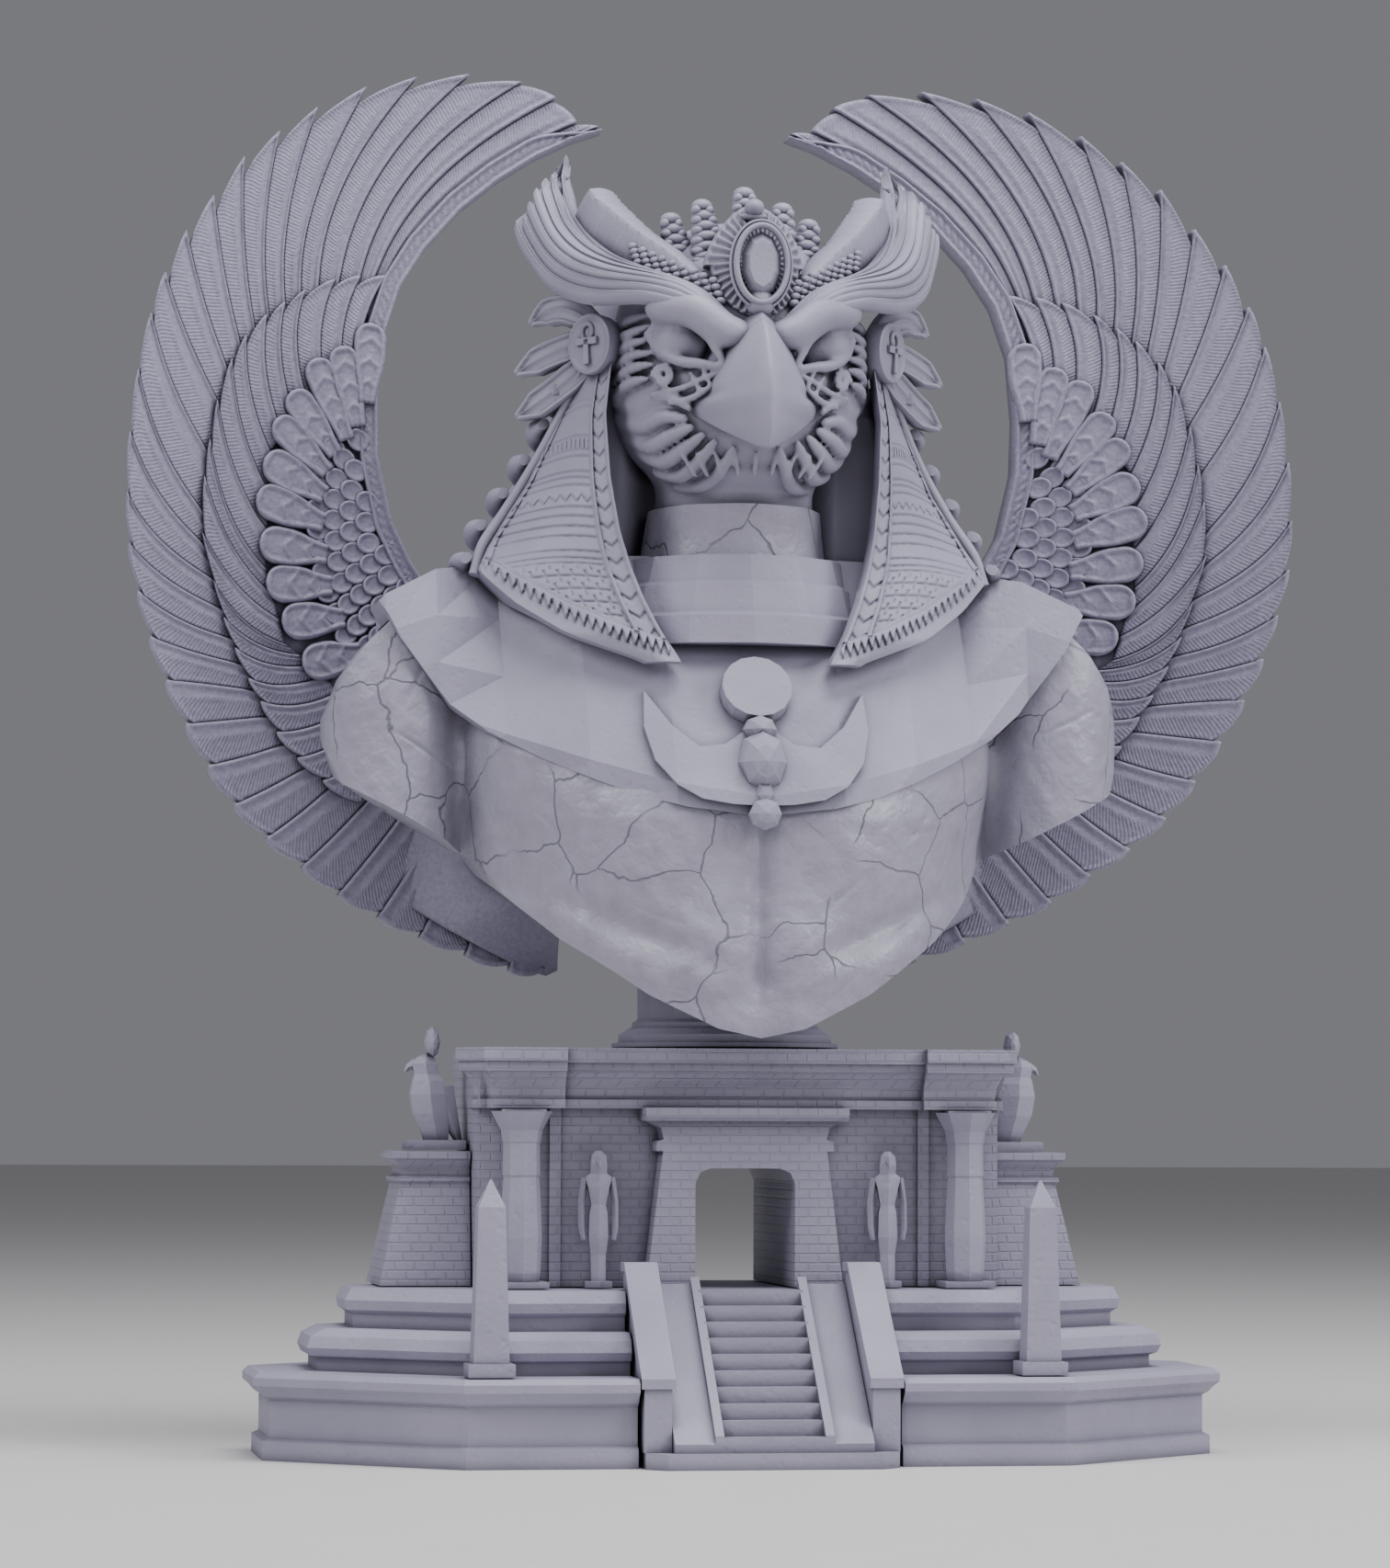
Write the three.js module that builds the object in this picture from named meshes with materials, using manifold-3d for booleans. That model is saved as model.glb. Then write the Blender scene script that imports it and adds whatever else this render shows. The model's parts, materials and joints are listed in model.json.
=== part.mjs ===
import * as THREE from 'three';
import { mergeVertices } from 'three/addons/utils/BufferGeometryUtils.js';
import Module from 'manifold-3d';

// Falcon-headed god bust with raised wings on a small temple plinth.
// Millimetres, +Z up, front toward -Y, origin at the centre of the underside.

const GAP = 0.3;

// Stepped octagonal plinth: half width, half depth and the corner cuts of the lowest tier.
const BASE_HALF_X = 110;
const BASE_HALF_Y = 50.9;
const BASE_FRONT_CORNER_X = 68.1;
const BASE_SIDE_CORNER_Y = 15.9;
const BACK_INSET_SHARE = 0.45;
const PLATFORM_Z = 38.3;
// Inset and height of each moulding of the three tiers, from the floor up.
const TIER_PROFILE = [
  [0, 0], [0, 4.3], [1.6, 5], [1.6, 13.6], [0.2, 14.4], [-0.8, 15.6], [-2.2, 16.8],
  [-2.2, 18.6], [-0.8, 19.8], [12.9, 19.8], [12.9, 22.6], [11.2, 23.2], [10.3, 25],
  [11.2, 27.6], [14.6, 29.3], [21.2, 29.3], [21.2, 32.4], [19.6, 33.4], [19.2, 35.6],
  [20.6, 38.3],
];

// Stairway between its two ramps and balustrades.
const STAIR_HALF = 11.4;
const STAIR_RISERS = 10;
const STAIR_FOOT_Y = -55.5;
const STAIR_HEAD_Y = -21;
const RAMP_OUTER = 21.9;
const RAIL_OUTER = 29.5;

// Gateway: wall, portal and cornice.
const WALL_HALF = 61;
const WALL_FRONT_Y = -9;
const WALL_BACK_Y = 36.5;
const WALL_TOP_Z = 79.6;
const DOOR_HALF = 11.6;
const DOOR_TOP_Z = 65.8;
const PORTAL_FRONT_Y = -17;
const PORTAL_TOP_HALF = 19.1;
const PORTAL_FOOT_HALF = 22.9;
const PORTAL_CORNICE_HALF = 23.6;
const CORNICE_TOP_Z = 93.2;
const CORNER_BLOCK_INNER = 41.8;

// Columns, obelisks, guardians and pylons, mirrored about X = 0.
const COLUMN_X = 51.7;
const COLUMN_Y = -16.4;
const OBELISK_X = 62.4;
const OBELISK_Y = -45.8;
const GUARDIAN_X = 33.7;
const GUARDIAN_Y = -14.2;
const PYLON_INNER = 61.4;
const PYLON_FOOT_OUTER = 82;
const PYLON_TOP_Z = 69.4;
const FALCON_X = 68.6;
const FALCON_Y = 11;

// Round socle and stem under the bust.
const SOCLE_Y = 11;
const SOCLE_Z = 93.7;
const STEM_RADIUS = 20.9;

// Torso: lower cut edge and shoulder line as [half width, height].
const CUT_EDGE = [
  [0, 95.3], [10, 97.4], [18, 101.4], [25.5, 105.2], [37, 113.3], [44, 118.2], [51.6, 125.4],
  [55.2, 129.4], [59, 136.2], [63, 139.2], [73, 144.3], [84, 150], [91.5, 154.2], [95, 163],
];
const SHOULDER_LINE = [
  [0, 204], [45, 204], [60, 202.5], [70, 200], [79, 194], [86, 187], [91, 180], [95, 170],
];
const CHEST_LINE = [
  [90, -36], [120, -38.4], [145, -36.6], [160, -31.4], [175, -22.6], [190, -15.4], [206, -9],
];
const TORSO_HALF = 95;
const TORSO_BACK_Y = 55;

// Broad collar: lower edge as [half width, height], and its thickness.
const COLLAR_EDGE = [
  [0, 145.4], [17, 147.4], [27, 150], [37.3, 154.1], [47.4, 159], [59.3, 165.8], [67.2, 172.4],
  [73.1, 180], [78.9, 187.8], [81.5, 193],
];
const COLLAR_THICK = 4;

// Wing outline: inner edge and feather tips as [X, Z] from the top point round to the root.
const WING_INNER = [
  [23.4, 320.4], [31, 317.6], [40, 313], [49.3, 306.8], [58.6, 299], [67.8, 288.4], [74, 278.4],
  [78, 266], [79.3, 250], [78.9, 236.6], [75.3, 221], [70.6, 211.8], [62, 199], [51, 183],
  [42, 166], [36, 147], [33.5, 130], [33, 113],
];
const FEATHER_TIPS = [
  [24.1, 321.6], [29.6, 322.4], [34.8, 328.3], [43.3, 331.9], [56.6, 332.9], [69.9, 331.1],
  [82.5, 327.5], [94.8, 321.1], [104.2, 314.2], [113, 306.8], [120.5, 296.4], [127.2, 287],
  [132.2, 276.2], [135.6, 266.1], [138.6, 252.3], [140.4, 237.3], [141, 223], [140.4, 211],
  [138, 200], [135, 189.5], [131, 179.5], [126, 169.5], [120.5, 160], [114, 151], [106, 143.4],
  [97, 137], [88, 130.5], [78, 125.4], [67.5, 120.7], [56, 116.4], [45, 112.8], [36.5, 111.4],
];
const WING_SPAN = 140.4;
const WING_NEAR_Y = 23;
const WING_FAR_Y = 63;
const WING_THICK = 5.6;
const WING_STRIPS = 2;

const wasm = await Module();
wasm.setup();

function lerp(a, b, t) {
  return a + (b - a) * t;
}

function clamp(value, low, high) {
  return Math.min(high, Math.max(low, value));
}

function smooth(low, high, value) {
  const t = clamp((value - low) / (high - low), 0, 1);
  return t * t * (3 - 2 * t);
}

// Straight interpolation through a list of [position, value] pairs.
function read(pairs, at) {
  if (at <= pairs[0][0]) {
    return pairs[0][1];
  }
  for (let i = 1; i < pairs.length; i += 1) {
    const [left, low] = pairs[i - 1];
    const [right, high] = pairs[i];
    if (at <= right) {
      return lerp(low, high, (at - left) / (right - left));
    }
  }
  return pairs[pairs.length - 1][1];
}

// Point at share t of the length of a polyline of [x, z] pairs.
function walk(points, t) {
  const lengths = [0];
  for (let i = 1; i < points.length; i += 1) {
    const step = Math.hypot(points[i][0] - points[i - 1][0], points[i][1] - points[i - 1][1]);
    lengths.push(lengths[i - 1] + step);
  }
  const goal = t * lengths[lengths.length - 1];
  const xs = points.map((point, i) => [lengths[i], point[0]]);
  const zs = points.map((point, i) => [lengths[i], point[1]]);
  return [read(xs, goal), read(zs, goal)];
}

// Moves every vertex of a geometry with place(vector).
function warp(geometry, place) {
  const position = geometry.attributes.position;
  const point = new THREE.Vector3();
  for (let i = 0; i < position.count; i += 1) {
    point.fromBufferAttribute(position, i);
    place(point);
    position.setXYZ(i, point.x, point.y, point.z);
  }
  return geometry;
}

// Closed solid from a geometry, with shared vertices merged and every face turned out.
function solid(geometry) {
  const bare = geometry.clone();
  bare.deleteAttribute('normal');
  bare.deleteAttribute('uv');
  const merged = mergeVertices(bare, 1e-4);
  const corners = merged.attributes.position.array;
  const triangles = Uint32Array.from(merged.index.array);
  const corner = (i) => new THREE.Vector3().fromArray(corners, triangles[i] * 3);
  let volume = 0;
  for (let i = 0; i < triangles.length; i += 3) {
    volume += corner(i).dot(corner(i + 1).cross(corner(i + 2)));
  }
  for (let i = 0; volume < 0 && i < triangles.length; i += 3) {
    [triangles[i], triangles[i + 1]] = [triangles[i + 1], triangles[i]];
  }
  return new wasm.Manifold(new wasm.Mesh({
    numProp: 3,
    vertProperties: Float32Array.from(corners),
    triVerts: triangles,
  }));
}

function join(solids) {
  return solids.reduce((whole, next) => whole.add(next));
}

function block(x0, x1, y0, y1, z0, z1) {
  const geometry = new THREE.BoxGeometry(x1 - x0, y1 - y0, z1 - z0);
  geometry.translate((x0 + x1) / 2, (y0 + y1) / 2, (z0 + z1) / 2);
  return solid(geometry);
}

function polygon(points) {
  return new THREE.Shape(points.map(([a, b]) => new THREE.Vector2(a, b)));
}

// Outline in [y, z] pushed along X, or in [x, z] pushed along Y.
function alongX(points, x0, x1) {
  const geometry = new THREE.ExtrudeGeometry(polygon(points), { depth: x1 - x0, bevelEnabled: false });
  const basis = new THREE.Matrix4().makeBasis(
    new THREE.Vector3(0, 1, 0), new THREE.Vector3(0, 0, 1), new THREE.Vector3(1, 0, 0),
  );
  geometry.applyMatrix4(basis);
  geometry.translate(x0, 0, 0);
  return solid(geometry);
}

function alongY(points, y0, y1) {
  const geometry = new THREE.ExtrudeGeometry(polygon(points), { depth: y1 - y0, bevelEnabled: false });
  const basis = new THREE.Matrix4().makeBasis(
    new THREE.Vector3(1, 0, 0), new THREE.Vector3(0, 0, 1), new THREE.Vector3(0, -1, 0),
  );
  geometry.applyMatrix4(basis);
  geometry.translate(0, y1, 0);
  return solid(geometry);
}

// Stack of rings: section(i, angle) gives [x, y, z], angle 0 facing -Y and growing toward +X.
function loft(levels, sides, section) {
  const geometry = new THREE.CylinderGeometry(1, 1, 1, sides, levels - 1);
  const centres = [];
  for (let i = 0; i < levels; i += 1) {
    const centre = [0, 0, 0];
    for (let k = 0; k < sides; k += 1) {
      const corner = section(i, (k / sides) * Math.PI * 2);
      corner.forEach((value, axis) => {
        centre[axis] += value / sides;
      });
    }
    centres.push(centre);
  }
  return solid(warp(geometry, (point) => {
    const i = Math.round((0.5 + point.y) * (levels - 1));
    if (Math.hypot(point.x, point.z) < 0.5) {
      point.set(...centres[i]);
      return;
    }
    const k = (Math.round((Math.atan2(point.x, point.z) / (Math.PI * 2)) * sides) + sides) % sides;
    point.set(...section(i, (k / sides) * Math.PI * 2));
  }));
}

// Upright stack of ellipses from rows of [z, half width, front y, back y], centred on x.
function ovalStack(rows, sides, x = 0) {
  return loft(rows.length, sides, (i, angle) => {
    const [z, half, front, back] = rows[i];
    return [
      x + half * Math.sin(angle),
      (front + back) / 2 - ((back - front) / 2) * Math.cos(angle),
      z,
    ];
  });
}

// Tapered horn along a list of [x, y, z, half width, half height] stations.
function horn(stations, sides) {
  const centre = stations.map(([x, y, z]) => new THREE.Vector3(x, y, z));
  return loft(stations.length, sides, (i, angle) => {
    const before = centre[Math.max(0, i - 1)];
    const after = centre[Math.min(centre.length - 1, i + 1)];
    const run = after.clone().sub(before).normalize();
    const side = new THREE.Vector3(0, -1, 0).cross(run).normalize();
    const face = run.clone().cross(side).normalize();
    const [, , , wide, high] = stations[i];
    const offset = side.multiplyScalar(wide * Math.sin(angle))
      .add(face.multiplyScalar(high * Math.cos(angle)));
    return centre[i].clone().add(offset).toArray();
  });
}

function turned(profile, sides, x, y) {
  const points = profile.map(([radius, z]) => new THREE.Vector2(radius, z));
  const geometry = new THREE.LatheGeometry(points, sides);
  geometry.rotateX(Math.PI / 2);
  geometry.translate(x, y, 0);
  return solid(geometry);
}

function ball(x, y, z, rx, ry, rz, sides = 12, rings = 8) {
  const geometry = new THREE.SphereGeometry(1, sides, rings);
  geometry.scale(rx, ry, rz);
  geometry.translate(x, y, z);
  return solid(geometry);
}

// Octagon corners in turning order from the front right one.
function octagonRing(k, inset) {
  const slant = Math.hypot(BASE_HALF_X - BASE_FRONT_CORNER_X, BASE_HALF_Y - BASE_SIDE_CORNER_Y);
  const nx = (BASE_HALF_Y - BASE_SIDE_CORNER_Y) / slant;
  const ny = (BASE_HALF_X - BASE_FRONT_CORNER_X) / slant;
  const reach = nx * BASE_FRONT_CORNER_X + ny * BASE_HALF_Y;
  const front = k === 0 || k === 1 || k === 6 || k === 7;
  const share = front ? 1 : BACK_INSET_SHARE;
  const cut = reach - inset * (front ? 1 : 0.7);
  const x = BASE_HALF_X - inset;
  const y = BASE_HALF_Y - inset * share;
  const onFace = k === 0 || k === 3 || k === 4 || k === 7;
  const corner = onFace ? [(cut - ny * y) / nx, y] : [x, (cut - nx * x) / ny];
  const xSign = k <= 3 ? 1 : -1;
  const ySign = front ? -1 : 1;
  return [xSign * corner[0], ySign * corner[1]];
}

function makePlinth() {
  const stack = loft(TIER_PROFILE.length, 8, (i, angle) => {
    const k = Math.round((angle / (Math.PI * 2)) * 8) % 8;
    const [inset, z] = TIER_PROFILE[i];
    return [...octagonRing(k, inset), z];
  });
  const stairwell = block(-RAIL_OUTER - GAP, RAIL_OUTER + GAP, -70, STAIR_HEAD_Y + GAP, -1, 60);
  return stack.subtract(stairwell);
}

function makeStairway() {
  const pitch = (STAIR_HEAD_Y - STAIR_FOOT_Y) / STAIR_RISERS;
  const rise = (PLATFORM_Z - 3.6) / STAIR_RISERS;
  const steps = [[STAIR_HEAD_Y, 3.6], [STAIR_FOOT_Y, 3.6]];
  for (let i = 0; i < STAIR_RISERS; i += 1) {
    const y = STAIR_FOOT_Y + pitch * i;
    steps.push([y, 3.6 + rise * (i + 1)]);
    steps.push([y + pitch, 3.6 + rise * (i + 1)]);
  }
  const flight = alongX(steps, -STAIR_HALF - 0.5, STAIR_HALF + 0.5);
  const ramps = [1, -1].map((side) => {
    const ramp = [[STAIR_HEAD_Y, 3.6], [STAIR_FOOT_Y, 3.6], [STAIR_FOOT_Y, 5.6], [STAIR_HEAD_Y, 39.6]];
    const curb = [[STAIR_HEAD_Y, 3.6], [STAIR_FOOT_Y, 3.6], [STAIR_FOOT_Y, 7.4], [STAIR_HEAD_Y, 41.2]];
    const rail = [
      [STAIR_HEAD_Y, 3.6], [-52.6, 3.6], [-52.6, 19.8], [-50.4, 21], [-26.6, 43.9], [STAIR_HEAD_Y, 43.9],
    ];
    const span = (a, b) => (side > 0 ? [a, b] : [-b, -a]);
    return join([
      alongX(ramp, ...span(STAIR_HALF, RAMP_OUTER + 0.5)),
      alongX(curb, ...span(STAIR_HALF, STAIR_HALF + 2)),
      alongX(rail, ...span(RAMP_OUTER + 0.7, RAIL_OUTER - 0.7)),
      alongX([[-53.2, 17.6], [-53.2, 19.8], [-50.4, 22.2], [-26.6, 44.6], [STAIR_HEAD_Y, 44.6],
        [STAIR_HEAD_Y, 42.6], [-27, 42.6], [-49.6, 17.6]], ...span(RAMP_OUTER, RAIL_OUTER)),
    ]);
  });
  const foot = [
    [-28.5, STAIR_HEAD_Y], [28.5, STAIR_HEAD_Y], [28.5, -53.5], [24.1, -57.8], [-24.1, -57.8], [-28.5, -53.5],
  ];
  const slab = solid(new THREE.ExtrudeGeometry(polygon(foot.slice().reverse()), {
    depth: 3.6,
    bevelEnabled: false,
  }));
  return join([slab, flight, ...ramps]);
}

function makeGateway() {
  const floor = PLATFORM_Z + GAP;
  const wall = block(-WALL_HALF, WALL_HALF, WALL_FRONT_Y, WALL_BACK_Y, floor, WALL_TOP_Z);
  const portal = alongY([
    [-PORTAL_FOOT_HALF, floor], [PORTAL_FOOT_HALF, floor], [PORTAL_TOP_HALF, 69.7],
    [20.6, 69.7], [20.6, 71.8], [19, 72.4], [19.6, 75], [PORTAL_CORNICE_HALF, 77.4],
    [PORTAL_CORNICE_HALF, WALL_TOP_Z], [-PORTAL_CORNICE_HALF, WALL_TOP_Z], [-PORTAL_CORNICE_HALF, 77.4],
    [-19.6, 75], [-19, 72.4], [-20.6, 71.8], [-20.6, 69.7], [-PORTAL_TOP_HALF, 69.7],
  ], PORTAL_FRONT_Y, 0);
  const portalHood = alongX([
    [-5, 76.6], [-19.4, 76.6], [-20.6, 77.6], [-20.6, WALL_TOP_Z], [-5, WALL_TOP_Z],
  ], -PORTAL_CORNICE_HALF, PORTAL_CORNICE_HALF);
  const frames = [1, -1].map((side) => {
    const edges = [CORNER_BLOCK_INNER, 44.4].map((value) => value * side).sort((a, b) => a - b);
    return block(edges[0], edges[1], -10.4, 0, floor, WALL_TOP_Z);
  });
  // Cavetto cornice: run of the middle, then deeper blocks over the columns.
  const run = [
    [0, WALL_TOP_Z - 0.2], [-14.6, WALL_TOP_Z - 0.2], [-14.6, 81.4], [-13.6, 81.6], [-14.2, 84.6],
    [-16.4, 87.4], [-17.4, 87.9], [-17.4, 89.6], [-18.4, 89.8], [-18.4, CORNICE_TOP_Z],
    [41, CORNICE_TOP_Z], [41, 89.6], [38, 87], [36.5, WALL_TOP_Z - 0.2],
  ];
  const cornice = alongX(run, -WALL_HALF, WALL_HALF);
  const corners = [1, -1].map((side) => {
    const rows = [
      [WALL_TOP_Z - 0.2, 0], [81.4, 0], [81.6, -0.6], [84.6, 0], [87.6, 2], [87.9, 3.2], [90, 3.2],
      [90.2, 4], [CORNICE_TOP_Z, 4],
    ];
    return loft(rows.length, 6, (i, angle) => {
      const [z, flare] = rows[i];
      const outline = [
        [CORNER_BLOCK_INNER, 30], [CORNER_BLOCK_INNER, -17.4 - flare], [58.6 + flare * 0.6, -17.4 - flare],
        [62 + flare, -8], [61.2, 3], [61.2, 30],
      ];
      const [x, y] = outline[Math.round((angle / (Math.PI * 2)) * 6) % 6];
      return [side * x, y, z];
    });
  });
  const tunnel = alongY([
    [-DOOR_HALF, floor - 1], [DOOR_HALF, floor - 1], [DOOR_HALF, DOOR_TOP_Z - 3.4],
    [DOOR_HALF - 1.1, DOOR_TOP_Z - 1], [DOOR_HALF - 3.4, DOOR_TOP_Z], [-DOOR_HALF + 3.4, DOOR_TOP_Z],
    [-DOOR_HALF + 1.1, DOOR_TOP_Z - 1], [-DOOR_HALF, DOOR_TOP_Z - 3.4],
  ], -30, 60);
  return join([wall, portal, portalHood, cornice, ...frames, ...corners]).subtract(tunnel);
}

function makePylon(side) {
  const floor = PLATFORM_Z + GAP;
  const rows = [
    [floor, 0], [62, 3.8], [62.6, 3.2], [63.4, 3.2], [63.8, 4.2], [65.6, 4], [67.4, 2.6],
    [67.8, 2.2], [PYLON_TOP_Z, 2.2],
  ];
  return loft(rows.length, 4, (i, angle) => {
    const [z, inset] = rows[i];
    const outer = PYLON_FOOT_OUTER + 0.4 - inset * 1.32;
    const outline = [
      [PYLON_INNER, -2.4 + inset], [outer, -2.4 + inset], [outer, 29 - inset], [PYLON_INNER, 29 - inset],
    ];
    const [x, y] = outline[Math.round((angle / (Math.PI * 2)) * 4) % 4];
    return [side * x, y, z];
  });
}

function makeColumn(side) {
  const floor = PLATFORM_Z + GAP;
  const profile = [
    [0, floor + 1], [4.1, floor + 1], [4.5, floor + 3.4], [4.8, 50], [4.5, 58], [4.1, 63.8],
    [4.3, 64.2], [4.2, 71.4], [4.4, 71.8], [4.8, 74.4], [6.2, 77], [7.1, WALL_TOP_Z - 0.9],
    [0, WALL_TOP_Z - 0.9],
  ];
  const shaft = turned(profile, 8, side * COLUMN_X, COLUMN_Y);
  const x = side * COLUMN_X;
  const plinth = block(x - 5.8, x + 5.8, COLUMN_Y - 5.8, COLUMN_Y + 5.8, floor, floor + 1.4);
  const abacus = block(x - 5, x + 5, COLUMN_Y - 5, COLUMN_Y + 5, WALL_TOP_Z - 1.2, WALL_TOP_Z - GAP - 0.2);
  return join([shaft, plinth, abacus]);
}

function makeObelisk(side) {
  const floor = 19.8 + GAP;
  const rows = [[floor, 5.2], [23, 5.2], [23.1, 4], [57.5, 3], [63.6, 0.15]];
  return loft(rows.length, 4, (i, angle) => {
    const [z, half] = rows[i];
    const turn = angle + Math.PI / 4;
    return [
      side * OBELISK_X + half * Math.SQRT2 * Math.sin(turn),
      OBELISK_Y - half * 0.92 * Math.SQRT2 * Math.cos(turn),
      z,
    ];
  });
}

function makeGuardian(side) {
  const floor = PLATFORM_Z + GAP;
  const x = side * GUARDIAN_X;
  const y = GUARDIAN_Y;
  const body = ovalStack([
    [floor, 3.6, y - 3.4, y + 3.2], [floor + 1.4, 3.6, y - 3.4, y + 3.2],
    [floor + 1.5, 1.9, y - 2.4, y + 1.8], [46, 2, y - 1.6, y + 1.6], [50, 2.6, y - 2, y + 1.8],
    [55.4, 2.4, y - 1.8, y + 1.8], [57.4, 1.9, y - 1.6, y + 1.6], [61.4, 2.8, y - 2, y + 1.8],
    [63.6, 3.6, y - 1.8, y + 1.8], [64.6, 2.2, y - 1.6, y + 1.8], [66.6, 2.2, y - 2.2, y + 1.8],
    [68.6, 1.9, y - 2, y + 1.6], [69.7, 0.8, y - 0.8, y + 0.8],
  ], 6, x);
  const arms = [1, -1].map((hand) => horn([
    [x + hand * 3, y, 63.6, 0.9, 1.1], [x + hand * 3.9, y, 58, 0.8, 1], [x + hand * 3.9, y - 0.6, 52, 0.7, 0.8],
    [x + hand * 3.5, y - 1, 49.4, 0.5, 0.7],
  ], 4));
  const beak = horn([
    [x, y - 1.4, 67.6, 0.9, 0.9], [x, y - 2.8, 67, 0.5, 0.5], [x, y - 3.3, 66, 0.15, 0.15],
  ], 4);
  return join([body, ...arms, beak]);
}

function makeFalcon(side) {
  const floor = PYLON_TOP_Z + GAP;
  const x = side * FALCON_X;
  const foot = block(x - 6.8, x + 6.8, FALCON_Y - 6, FALCON_Y + 6, floor, floor + 2.2);
  // Rows of [z, centre offset outward, half length, half width].
  const rows = [
    [floor + 2, -0.4, 3.2, 2.6], [74.6, 0, 3.8, 3.2], [78, 0.8, 4.8, 4], [82.6, 1.4, 5, 4.4],
    [85.6, 1.6, 4.2, 3.8], [87.2, 2, 3.3, 3], [89.6, 2.4, 3.4, 2.8], [91, 2.2, 2.4, 2], [91.8, 2, 0.9, 0.8],
  ];
  const body = loft(rows.length, 6, (i, angle) => {
    const [z, shift, long, wide] = rows[i];
    return [x + side * shift + long * Math.sin(angle), FALCON_Y - wide * Math.cos(angle), z];
  });
  const beak = horn([
    [x + side * 4.4, FALCON_Y, 89.4, 1.5, 1.5], [x + side * 6.2, FALCON_Y, 88.8, 0.8, 0.8],
    [x + side * 7, FALCON_Y, 87.6, 0.2, 0.2],
  ], 4);
  const tail = horn([
    [x - side * 2, FALCON_Y, 84, 2.6, 2.6], [x - side * 3.9, FALCON_Y, 76, 1.9, 2.4],
    [x - side * 5.8, FALCON_Y, floor + 1.6, 0.9, 1.8],
  ], 5);
  const disc = ball(x + side * 0.6, FALCON_Y, 94.6, 1.9, 3.6, 3.7, 8, 6);
  return join([foot, body, beak, tail, disc]);
}

function makeSocle(torsoClear) {
  const profile = [
    [0, SOCLE_Z], [27, SOCLE_Z], [27, 94.6], [25.4, 94.9], [25.4, 96.6], [24.3, 97.2], [23.2, 98],
    [22.2, 98.4], [22.2, 99.4], [STEM_RADIUS, 100.2], [STEM_RADIUS, 132], [0, 132],
  ];
  return turned(profile, 16, 0, SOCLE_Y).subtract(torsoClear);
}

// Front of the torso: chest with its pectoral swell, then the deltoid of each arm.
function chestY(x, z) {
  const across = Math.abs(x);
  const droop = lerp(50, 26, smooth(138, 166, z));
  const chest = read(CHEST_LINE, z) + droop * (Math.min(across, 70) / 62) ** 2.6;
  const bulge = clamp(1 - ((across - 79) / 16.5) ** 2, 0, 1);
  const arm = 19 - 22 * Math.sqrt(bulge);
  const share = smooth(58, 68, across);
  return lerp(chest, arm, share);
}

function backY(x, z) {
  const across = Math.abs(x) / TORSO_HALF;
  const waist = 10 * smooth(150, 112, z);
  return TORSO_BACK_Y - waist - (TORSO_BACK_Y - 22) * across ** 3.4;
}

// Torso solid, swollen by grow on every side.
function torsoBody(grow) {
  const geometry = new THREE.BoxGeometry(2, 1, 1, 16, 1, 6);
  return solid(warp(geometry, (point) => {
    const share = Math.sin((point.x * Math.PI) / 2);
    const across = Math.abs(share) * TORSO_HALF;
    const rise = point.z + 0.5;
    const back = point.y > 0;
    const inner = 1 - clamp(across / 62, 0, 1);
    const low = read(CUT_EDGE, across) + (back ? 28 * inner + 3 : 0) - grow;
    const high = read(SHOULDER_LINE, across) + grow;
    const z = lerp(low, high, rise);
    const x = share * (TORSO_HALF + grow);
    const crest = 15 * rise ** 5 * (1 - smooth(70, 95, across));
    const y = back ? backY(x, z) - crest + grow : chestY(x, z) + crest * 0.5 - grow;
    point.set(x, y, z);
  }));
}

function neckBody(grow, low, high) {
  const rows = [[low, 25, -18, 30], [212, 22, -17, 27], [high, 21, -18, 24]];
  return ovalStack(rows.map(([z, half, front, back]) => [z, half + grow, front - grow, back + grow]), 20);
}

function makeTorso() {
  return join([torsoBody(0), neckBody(0, 196, 216)]);
}

function makeCollar(clear) {
  const outline = [
    ...COLLAR_EDGE.slice(1).reverse().map(([x, z]) => [-x, z]), ...COLLAR_EDGE,
    [86, 200], [86, 240], [-86, 240], [-86, 200],
  ];
  const front = alongY(outline, -70, 20);
  const cape = alongX([[19, 188], [70, 188], [70, 240], [19, 240]], -81, 81);
  const mantle = torsoBody(COLLAR_THICK).intersect(front.add(cape));
  return mantle.add(chokerBody(0)).subtract(clear);
}

// Rear surface of the wings: far back near the middle, curling forward at the span.
function wingY(x) {
  return WING_FAR_Y - (WING_FAR_Y - WING_NEAR_Y) * (Math.abs(x) / WING_SPAN) ** 2.6;
}

// Outer edge of the wing with a step under each feather tip, as [x, z] pairs.
function featherEdge() {
  const edge = [];
  for (let k = 0; k < FEATHER_TIPS.length - 1; k += 1) {
    const [x0, z0] = FEATHER_TIPS[k];
    const [x1, z1] = FEATHER_TIPS[k + 1];
    const run = Math.hypot(x1 - x0, z1 - z0);
    const nx = -(z1 - z0) / run;
    const nz = (x1 - x0) / run;
    const notch = k < 3 ? 1.6 : lerp(4.6, 1.5, smooth(7, 14, k));
    edge.push([x0, z0]);
    if (k < 10) {
      edge.push([lerp(x0, x1, 0.5) + nx * 0.9, lerp(z0, z1, 0.5) + nz * 0.9]);
    }
    edge.push([lerp(x0, x1, 0.9) - nx * notch, lerp(z0, z1, 0.9) - nz * notch]);
  }
  edge.push(FEATHER_TIPS[FEATHER_TIPS.length - 1]);
  return edge;
}

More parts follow.
